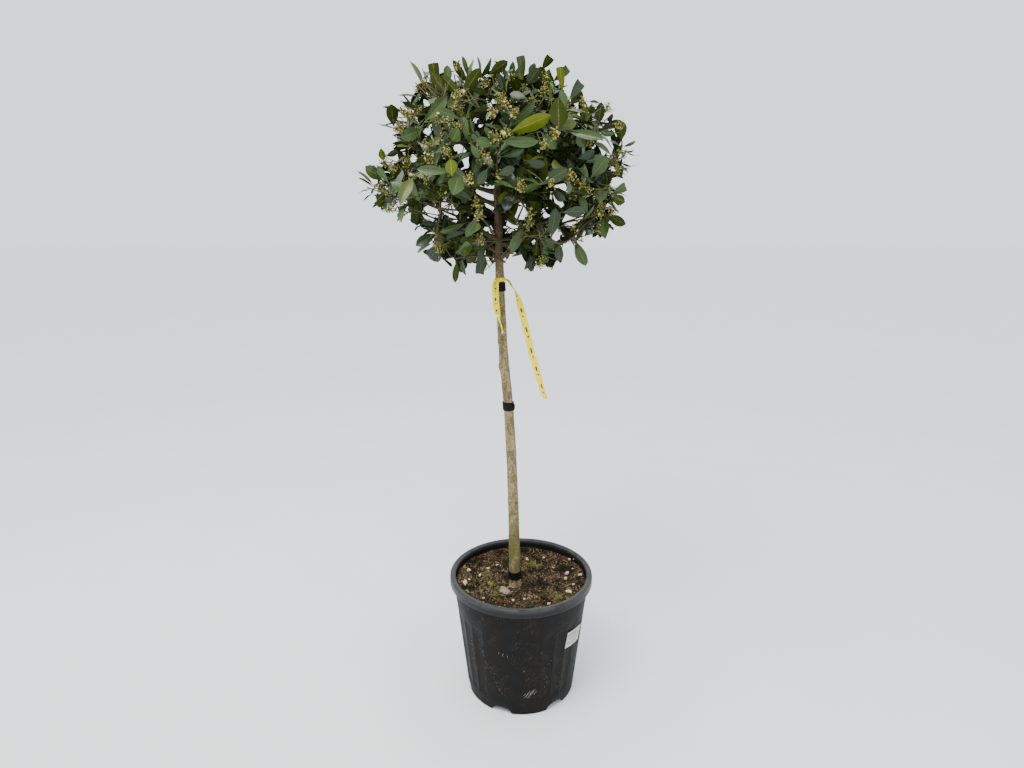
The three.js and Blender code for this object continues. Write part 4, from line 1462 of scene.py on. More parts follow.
@dataclass
class Leaf:
    """A leaf in its place: its base, its frame's axes as columns, its length and its looks."""

    base: Array
    frame: Array  # columns: across, along, out of the upper face
    length: float
    shape: int
    tint: Tint

    def placed(self, points: Array) -> Array:
        """Points of a leaf of unit length where this leaf stands."""
        return (points * self.length) @ self.frame.T + self.base


@dataclass
class Shoot:
    """A leafy shoot: its path from its root to its tip, and what its leaves look like."""

    path: Array
    number: int
    tint: Tint
    leaves: int
    girth: float


@dataclass(frozen=True)
class Portrait:
    """A leaf that shows in its own right from the front."""

    base: tuple[float, float, float]
    way: tuple[float, float, float]  # from its base to its tip
    turn: float  # degrees from facing the viewer: 90 shows its edge, 180 its underside
    breadth: float  # its width as a share of its shape's
    tint: Tint
    shape: int


class FrontView:
    """What must stay in sight from the front: chosen leaves and flowers, and gaps to the sky."""

    cell = 6.0
    size = (150, 120)
    corner = np.array([-480.0, 1080.0])

    def __init__(self, gaps: Sequence[Sequence[float]]) -> None:
        """Takes the gaps, by their places on the upright plane through the pot's middle and their radii."""
        self.depths = np.full(self.size, inf)
        rows = np.array(gaps, dtype=float)
        self.gap_places, self.gap_radii = rows[:, :2], rows[:, 2]

    def _flattened(self, spots: Array) -> Array:
        """Where the viewer sees spots, as places on the upright plane through the pot's middle."""
        share = -VIEWER[1] / (spots[:, 1] - VIEWER[1])
        return VIEWER[[0, 2]] + (spots[:, [0, 2]] - VIEWER[[0, 2]]) * share[:, None]

    def _cells(self, spots: Array) -> tuple[Array, Array]:
        """The column and row of the view that each spot falls in."""
        cells = np.floor((self._flattened(spots) - self.corner) / self.cell).astype(int)
        return tuple(np.clip(cells, 0, np.array(self.size) - 1).T)

    def keep(self, spots: Array) -> None:
        """Marks what must not be hidden."""
        np.minimum.at(self.depths, self._cells(spots), spots[:, 1])

    def hides(self, spots: Array) -> bool:
        """True where any spot lies in front of what must stay in sight."""
        depths = self.depths[self._cells(spots)]
        return bool((np.isfinite(depths) & (spots[:, 1] < depths + 4)).any())

    def closes_gap(self, spots: Array) -> bool:
        """True where any spot lies in a gap to the sky."""
        apart = self._flattened(spots)[:, None, :] - self.gap_places[None]
        return bool((norm(apart, axis=2) < self.gap_radii).any())


def probe_grid() -> Array:
    """Spots over a leaf of unit length past its foot, by which leaves are kept in the head and clear."""
    steps = ([0.22, 0.33, 0.44, 0.55, 0.66, 0.77, 0.88, 1.0], [-0.18, -0.09, 0.0, 0.09, 0.18])
    along, across = (spots.ravel() for spots in np.meshgrid(*steps))
    return np.stack([across * (1 - (2 * along - 1) ** 4), along, 0 * along], axis=1)


PROBES = probe_grid()


class Foliage:
    """Twigs, leaves and flower buds, which grow on from the boughs by the source's rule."""

    cell = 7.5
    leaf_length = 76.0
    leaves_each, tries = 10, 10
    # Shoots further back than the far side's edge flower more often, and their clusters stand out.
    far_side, flowering_far, flowering_near, stand_out = -60.0, 0.46, 0.26, 24.0
    buds_each, bud_reach, open_share = (28, 44), (3.5, 15.0), 0.07

    def __init__(self, plan: GrowthPlan) -> None:
        """Prepares the shapes and grows every shoot."""
        self.plan, self.head = plan, plan.head
        self.nodes = [f"foliage_{mass.name}" for mass in plan.masses]
        self.dice = np.random.default_rng(1176)
        self.shapes = [shape.pattern() for shape in LEAF_SHAPES]
        self.front = FrontView(SKY_GAPS)
        self.taken: set[tuple[int, int, int]] = set()
        self.leaves: list[Leaf] = []
        self.tubes: list[tuple[Array, float, float]] = []
        self.shoots: list[Shoot] = []
        self.clusters: list[tuple[Array, int]] = []
        self.limbs = self._limb_lengths()
        self._bow_twigs()
        self._grow_shoots()

    def _limb_lengths(self) -> tuple[Array, Array, Array]:
        """Short straight lengths of the stem and boughs: their starts, ends and radii."""
        rows = []
        stem = self.plan.stem
        for height in range(self.plan.window_foot, int(stem.tip), 20):
            rows.append((stem.at(height), stem.at(min(height + 20, stem.tip)), stem.radius(height)))
        for mass in self.plan.masses:
            places = [bezier(mass.path, i / 6) for i in range(7)]
            rows += [(a, b, mass.girth) for a, b in zip(places, places[1:])]
        starts, ends, radii = zip(*rows)
        return np.array(starts), np.array(ends), np.array(radii)

    def _limb_clearance(self, spots: Array) -> float:
        """How far the nearest of some spots is from the surface of a limb."""
        starts, ends, radii = self.limbs
        along = ends - starts
        apart = spots[:, None, :] - starts[None]
        share = np.clip((apart * along).sum(-1) / (along * along).sum(-1), 0, 1)
        return float((norm(apart - share[..., None] * along, axis=-1) - radii).min())

    def _bow_twigs(self) -> None:
        """Gives each twig its slight bow, and moves each root onto its bowed parent."""
        for twigs in self.plan.twigs:
            for i, twig in enumerate(twigs):
                if i:
                    parent, share = self._parent_of(twigs[:i], twig.start)
                    twig.start = parent.bowed(share)
                along = twig.end - twig.start
                across, over = square_to(unit(along))
                turn = chance(twig.number, 21) * 2 * pi
                size = length_of(along) * lerp(0.02, 0.065, chance(twig.number, 22))
                twig.bow = turned(across, over, turn) * size - UP * size * 0.5

    @staticmethod
    def _parent_of(twigs: list[Twig], spot: Array) -> tuple[Twig, float]:
        """The straight twig that a spot lies on, and the spot's share of its length."""
        best = (inf, twigs[0], 0.0)
        for twig in twigs:
            along = twig.end - twig.start
            share = float(np.clip(np.dot(spot - twig.start, along) / np.dot(along, along), 0, 1))
            apart = length_of(twig.at(share) - spot)
            if apart < best[0]:
                best = (apart, twig, share)
        return best[1], best[2]

    def _tint_at(self, spot: Array, number: int) -> Tint:
        """The tint of a spray, younger and yellower near the top and the outside of the head."""
        width, height = self.head.half_width, self.head.half_height
        from_centre = spot - self.head.centre
        rise = from_centre[2] / height
        out = length_of(from_centre / (width, width, height))
        youth = chance(number, 31) + 0.12 * rise + 0.3 * (out - 0.7)
        for tint, limit in ((DEEP, 0.24), (DARK, 0.56), (MID, 0.86), (OLIVE, 1.05)):
            if youth < limit:
                return tint
        return LIME

    def _grow_shoots(self) -> None:
        """Makes a shoot of each twig's outer half, and side shoots further down it."""
        steps = np.linspace(0, 1, 9)
        for twigs in self.plan.twigs:
            for twig in twigs:
                path = np.array([twig.bowed(share) for share in steps])
                self.tubes.append((path, twig.girth, 1.1))
                tint = self._tint_at(twig.end, twig.number)
                self.shoots.append(Shoot(path, twig.number, tint, self.leaves_each, 1.1))
                self._side_shoots(twig)

    def _side_shoots(self, twig: Twig) -> None:
        """Side shoots of one twig, and the smaller ones that leave them."""
        length = length_of(twig.end - twig.start)
        wanted = 2 + int(length > 90) + int(length > 130) + int(length > 180)
        for i in range(wanted):
            number = 1000 + twig.number * 10 + i
            share = lerp(0.3, 0.86, (i + 0.5 * chance(number, 1)) / wanted)
            path = self._side_shoot(twig.bowed(share), unit(twig.end - twig.start), number, (48, 118))
            if path is not None:
                for step, added, sizes in ((3, 10000, (34, 66)), (2, 20000, (30, 60))):
                    self._side_shoot(path[step], unit(path[step + 2] - path[step]), number + added, sizes)

    def _side_shoot(
        self, root: Array, along: Array, number: int, sizes: tuple[float, float]
    ) -> Array | None:
        """Grows one side shoot where it stays inside the head.

        Args:
            root: where it leaves its parent.
            along: the parent's direction there.
            number: the number that its chances depend on.
            sizes: the least and the greatest length.

        Returns:
            Its path of six places, or None if it has no room.
        """
        across, over = square_to(along)
        for attempt in range(8):
            turn = radians(GOLDEN_ANGLE * (number % 10 + 1) + 360 * chance(number, 2) + 53 * attempt)
            lean = radians(lerp(32, 58, chance(number, 3 + attempt)))
            side = turned(across, over, turn)
            aim = unit(turned(along, side, lean) + UP * 0.12)
            size = lerp(*sizes, chance(number, 20 + attempt))
            tip = root + aim * size
            reach = tip + self.head.outward(tip) * 30
            if not self.head.holds(reach[None], 1.0, 84)[0] or self.plan.in_window(reach[None])[0]:
                continue
            middle = np.array([tip, (tip * 2 + root) / 3, (tip + root) / 2])
            if self._limb_clearance(middle) < 6 or self.front.closes_gap(middle):
                continue
            bend = (root + tip) / 2 - UP * 0.05 * size
            path = bezier_path((root, bend, tip), 6)
            if self.front.closes_gap(path[1:]):
                continue
            is_long = sizes[1] > 70
            self.tubes.append((path, 1.9 if is_long else 1.4, 1.0))
            self.shoots.append(Shoot(path, number, self._tint_at(tip, number), 8 if is_long else 5, 1.0))
            return path
        return None

    def _cells(self, spots: Array) -> set[tuple[int, int, int]]:
        """The small cells of space that some spots lie in."""
        return {tuple(cell) for cell in np.floor(spots / self.cell).astype(int)}

    def _take(self, leaf: Leaf) -> None:
        """Keeps a leaf, and marks the cells that it fills."""
        self.taken |= self._cells(leaf.placed(PROBES))
        self.leaves.append(leaf)

    def _fits(self, leaf: Leaf, crowding: int) -> bool:
        """True where a leaf lies in the head, clear of limbs, of the stem's window and of other leaves."""
        spots = leaf.placed(PROBES)
        if len(self.taken & self._cells(spots)) > crowding:
            return False
        if self.front.closes_gap(spots) or self.front.hides(spots) or self.plan.in_window(spots).any():
            return False
        return bool(self.head.holds(spots[::2], 0.99, 56).all()) and self._limb_clearance(spots[2::5]) >= 4

    def _leaf_at(self, shoot: Shoot, index: int, attempt: int) -> Leaf:
        """One of the places that a shoot's leaf may have."""
        lengths = norm(np.diff(shoot.path, axis=0), axis=1)
        total = float(lengths.sum())
        back = min(2 + 3.0 * index + 5.5 * max(0, index - 4), total * 0.8)
        share = 1 - back / total
        spot = share * (len(shoot.path) - 1)
        i = min(int(spot), len(shoot.path) - 2)
        base = shoot.path[i] + (shoot.path[i + 1] - shoot.path[i]) * (spot - i)
        along = unit(shoot.path[i + 1] - shoot.path[i])
        across, over = square_to(along)
        keys = (shoot.number, index)
        turn = radians(GOLDEN_ANGLE * index + 360 * chance(shoot.number, 7) + attempt * 67)
        side = turned(across, over, turn)
        lean = radians(26 + 7.5 * min(index, 6) + 22 * chance(*keys, 3))
        forward = turned(along, side, lean)
        face = along * sin(lean) - side * cos(lean)
        sky = UP - forward * forward[2]
        face = unit(face * 0.75 + sky * lerp(0.35, 1.1, chance(*keys, 5)))
        face = unit(face - forward * np.dot(face, forward))
        roll = radians(lerp(-24, 24, chance(*keys, 6)))
        face = turned(face, cross(forward, face), roll)
        length = self.leaf_length * lerp(0.62, 1.14, chance(*keys, 4)) * (1 if index else 0.78)
        frame = np.stack([cross(forward, face), forward, face], axis=1)
        tint = shoot.tint
        if chance(*keys, 8) < 0.2:
            tints = list(Tint)
            place = tints.index(tint) + (1 if index < 3 else -1)
            tint = tints[min(max(place, 0), len(tints) - 1)]
        shape = int(chance(*keys, 9) * len(COMMON_SHAPES))
        return Leaf(base + forward * shoot.girth * 0.4, frame, length, COMMON_SHAPES[shape], tint)

    def grow_leaves(self) -> None:
        """Dresses every shoot, each one's outermost leaves first."""
        for index in range(self.leaves_each):
            for shoot in self.shoots:
                if index >= shoot.leaves:
                    continue
                for attempt in range(self.tries):
                    leaf = self._leaf_at(shoot, index, attempt)
                    if self._fits(leaf, 2 + attempt // 3):
                        self._take(leaf)
                        break

    def _set_portrait(self, portrait: Portrait) -> None:
        """Sets one chosen leaf, and the thin twig that carries it out of the nearest shoot."""
        base = np.array(portrait.base, dtype=float)
        tip = base + portrait.way
        forward = unit(tip - base)
        toward = VIEWER - (base + tip) / 2
        facing = unit(toward - forward * np.dot(toward, forward))
        turn = radians(portrait.turn)
        face = turned(facing, cross(forward, facing), turn)
        points = self.shapes[portrait.shape].points
        end = points[int(np.argmax(points[:, 1]))]
        reach, lift = hypot(end[1], end[2]), atan2(-end[2], end[1])
        along, over = turned(forward, face, lift), turned(face, -forward, lift)
        frame = np.stack([cross(forward, face) * portrait.breadth * reach, along, over], axis=1)
        leaf = Leaf(base, frame, length_of(tip - base) / reach, portrait.shape, portrait.tint)
        self._take(leaf)
        self.front.keep(leaf.placed(PROBES))
        self._reach_out(base, forward)

    def _reach_out(self, end: Array, forward: Array) -> None:
        """Grows a thin twig to a chosen place from the nearest twig that lies further in."""
        places = np.concatenate([path[1:] for path, _, _ in self.tubes])
        inner = norm(places - self.head.centre, axis=1)
        costs = norm(places - end, axis=1) + 0.35 * inner
        for root in places[np.argsort(costs)[:60:6]]:
            span = length_of(end - root)
            bend = (root + end) / 2 - forward * span * 0.2
            path = bezier_path((root, bend, end), 8)
            if not self.front.closes_gap(path):
                break
        if span > 3:
            self.tubes.append((path, lerp(1.3, 2.0, min(1.0, span / 150)), 0.9))

    def set_chosen(self) -> None:
        """Sets the twigs, leaves and flower clusters that show in their own right."""
        for points in CHOSEN_TWIGS:
            path = smooth_path(points, 4 * len(points))
            self.tubes.append((path, 3.2, 2.0))
            self.front.keep(path)
        for row in PORTRAITS:
            self._set_portrait(Portrait(row[:3], row[3:6], *row[6:]))
        ball = ball_pattern().points
        for number, place in enumerate(CLUSTERS):
            centre = np.array(place, dtype=float)
            self._reach_out(centre, self.head.outward(centre))
            self.front.keep(centre + ball * 11)
            self.clusters.append((centre, 5000 + number))

    def build_leaves(self) -> None:
        """Makes the leaves, one joined piece for each tint."""
        for colors in LEAF_COLORS:
            pile = Pile()
            for leaf in self.leaves:
                if leaf.tint is colors.tint:
                    pattern = self.shapes[leaf.shape]
                    pile.add(pattern, leaf.placed(pattern.points))
            declare(pile.build(f"leaves_{colors.tint.value}", colors.make()), "foliage", *self.nodes)

    def build_twigs(self) -> None:
        """Makes all twigs as one joined piece."""
        pile = Pile()
        patterns: dict[int, Pattern] = {}
        for path, start, end in self.tubes:
            faces = patterns.setdefault(len(path), tube_faces(len(path), 6))
            radii = np.linspace(start, end, len(path)) * (1 + 0.12 * np.sin(np.arange(len(path)) * 2.4))
            pile.add(faces, tube_points(path, radii, 6), int(start < 2.3))
        bark = Bark("twig_bark", srgb(86, 74, 48), srgb(48, 39, 23), srgb(62, 62, 32), (1100, 1600))
        green = Matte("twig_green", srgb(62, 66, 30), srgb(80, 78, 38), 7, 0.55, 0.2)
        declare(pile.build("twigs", [bark.make(), green.make()], 75.0), "bough_bark")

    def build_blossom(self) -> None:
        """Makes the clusters of flower buds round the shoots, and the open flowers among them."""
        bud, flower = bead_pattern(), flower_pattern()
        stalk = tube_faces(2, 3)
        pile = Pile()
        for shoot in self.shoots:
            centre = shoot.path[-2] * 0.6 + shoot.path[-1] * 0.4
            is_far = centre[1] > self.far_side
            flowering = self.flowering_far if is_far else self.flowering_near
            centre = centre + self.head.outward(centre) * (self.stand_out if is_far else 0)
            outer = centre + self.head.outward(centre) * 8
            hides = self.plan.in_window(centre[None])[0] or self.front.closes_gap(np.array([centre, outer]))
            seen = not hides and self.head.holds(outer[None], 0.97, 30)[0]
            if seen and shoot.number < 10000 and chance(shoot.number, 41) < flowering:
                self.clusters.append((centre, shoot.number))
        for centre, number in self.clusters:
            young = chance(number, 42)
            for _ in range(int(self.dice.integers(*self.buds_each))):
                aim = unit(self.dice.normal(size=3) * (1, 1, 1.25))
                spot = centre + aim * self.dice.uniform(*self.bud_reach)
                ends = np.array([centre + aim * 0.8, spot])
                pile.add(stalk, tube_points(ends, np.array([0.6, 0.5]), 3), 3)
                if self.dice.random() < self.open_share:
                    across, over = square_to(aim)
                    points = (flower.points * self.dice.uniform(2.8, 3.8)) @ np.stack([across, over, aim])
                    pile.add(flower, points + spot, 2)
                else:
                    size = self.dice.uniform(1.2, 2.2) * lerp(0.85, 1.1, young)
                    pile.add(bud, bud.points * size + spot, int(self.dice.random() < 0.45))
        buds = (
            Matte("bud_cream", srgb(174, 165, 84), srgb(140, 130, 58), 2, 0.5, 0.1),
            Matte("bud_green", srgb(124, 124, 50), srgb(98, 102, 38), 2, 0.5, 0.1),
            Matte("petal_white", srgb(202, 198, 146), srgb(176, 172, 112), 2, 0.55, 0.1),
            Matte("bud_stalk", srgb(98, 96, 36), srgb(76, 78, 28), 2, 0.6, 0.1),
        )
        declare(pile.build("blossom", [b.make() for b in buds]), "foliage", *self.nodes)


def flower_pattern() -> Pattern:
    """A flower of four rounded petals round a small boss, of unit radius, facing +Z."""
    bm = bmesh.new()
    for i in range(4):
        petal = ops.create_circle(bm, cap_ends=True, segments=6, radius=0.42)["verts"]
        ops.translate(bm, vec=(0.55, 0, 0.12), verts=petal)
        for vertex in petal:
            vertex.co.z += 0.35 * (vertex.co.x - 0.1) ** 2
        ops.rotate(bm, matrix=_turn_z(90 * i), verts=petal)
    ops.solidify(bm, geom=bm.faces[:], thickness=0.12)
    boss = ops.create_icosphere(bm, subdivisions=1, radius=0.26)["verts"]
    ops.translate(bm, vec=(0, 0, 0.2), verts=boss)
    return Pattern.taken_from(bm)


LEAF_SHAPES = (
    LeafShape(LeafForm.ENTIRE, 0.31, 0.1, 0.3, 0.0, 0.0),
    LeafShape(LeafForm.ENTIRE, 0.35, 0.2, 0.2, 0.012, 0.12),
    LeafShape(LeafForm.ENTIRE, 0.29, 0.04, 0.5, 0.0, -0.1),
    LeafShape(LeafForm.ENTIRE, 0.33, -0.08, 0.25, 0.018, 0.2),
    LeafShape(LeafForm.POINTED, 0.38, 0.16, 0.35, 0.01, -0.2),
    LeafShape(LeafForm.POINTED, 0.33, 0.28, 0.25, 0.008, 0.1),
    LeafShape(LeafForm.CUT, 0.36, 0.08, 0.25, 0.006, 0.0),
    LeafShape(LeafForm.SPINED, 0.38, 0.12, 0.25, 0.012, 0.1),
    LeafShape(LeafForm.ENTIRE, 0.32, 0.34, 0.15, 0.02, -0.25),
    LeafShape(LeafForm.ENTIRE, 0.36, 0.06, 0.15, 0.006, 0.05),
)
COMMON_SHAPES = (0, 0, 1, 1, 2, 2, 3, 3, 4, 5, 6, 7, 8, 8, 9)

LEAF_COLORS = (
    LeafColors(DEEP, srgb(26, 38, 21), srgb(60, 70, 38), srgb(32, 38, 14), 0.26),
    LeafColors(DARK, srgb(38, 55, 27), srgb(76, 90, 44), srgb(40, 49, 15), 0.28),
    LeafColors(MID, srgb(54, 74, 31), srgb(92, 104, 50), srgb(50, 60, 16), 0.31),
    LeafColors(OLIVE, srgb(66, 76, 20), srgb(92, 98, 36), srgb(40, 48, 4), 0.32),
    LeafColors(LIME, srgb(78, 95, 17), srgb(112, 121, 42), srgb(70, 79, 8), 0.32),
)

# Gaps to the sky from the front: where they lie across and up on the upright plane through the pot's middle,
# and their radius.
SKY_GAPS = (
    (-230, 1524, 11), (-154, 1481, 10), (-142, 1448, 12), (-102, 1540, 9), (-76, 1584, 10), (-99, 1383, 12),
    (-77, 1378, 12), (-77, 1352, 9), (-223, 1331, 17), (-181, 1331, 11), (-164, 1319, 10), (-193, 1355, 7),
    (-88, 1290, 9), (-6, 1333, 15), (-26, 1297, 11), (99, 1395, 9), (80, 1371, 9), (95, 1355, 9),
    (58, 1328, 10), (87, 1278, 10), (116, 1316, 13), (138, 1326, 10), (-266, 1464, 10), (-283, 1644, 34),
    (-310, 1613, 19), (-270, 1613, 12), (-334, 1510, 19), (-355, 1478, 15), (-380, 1460, 19),
    (-377, 1328, 22), (-341, 1304, 24), (-304, 1295, 22), (-296, 1256, 27), (-272, 1211, 29),
    (-238, 1191, 24), (-200, 1191, 17), (-132, 1176, 17), (-114, 1146, 22), (-297, 1355, 7), (-13, 1209, 17),
    (-18, 1179, 22), (53, 1174, 22), (96, 1181, 22), (123, 1211, 17), (117, 1246, 12), (190, 1221, 29),
    (236, 1265, 27), (164, 1256, 15), (273, 1333, 19), (268, 1397, 12), (231, 1406, 9), (267, 1531, 15),
    (234, 1573, 17), (197, 1609, 24), (159, 1635, 17), (130, 1657, 15), (103, 1678, 17), (17, 1691, 15),
    (-26, 1696, 17), (-122, 1689, 12), (-194, 1685, 17), (202, 1483, 10), (187, 1499, 6), (256, 1455, 7),
)

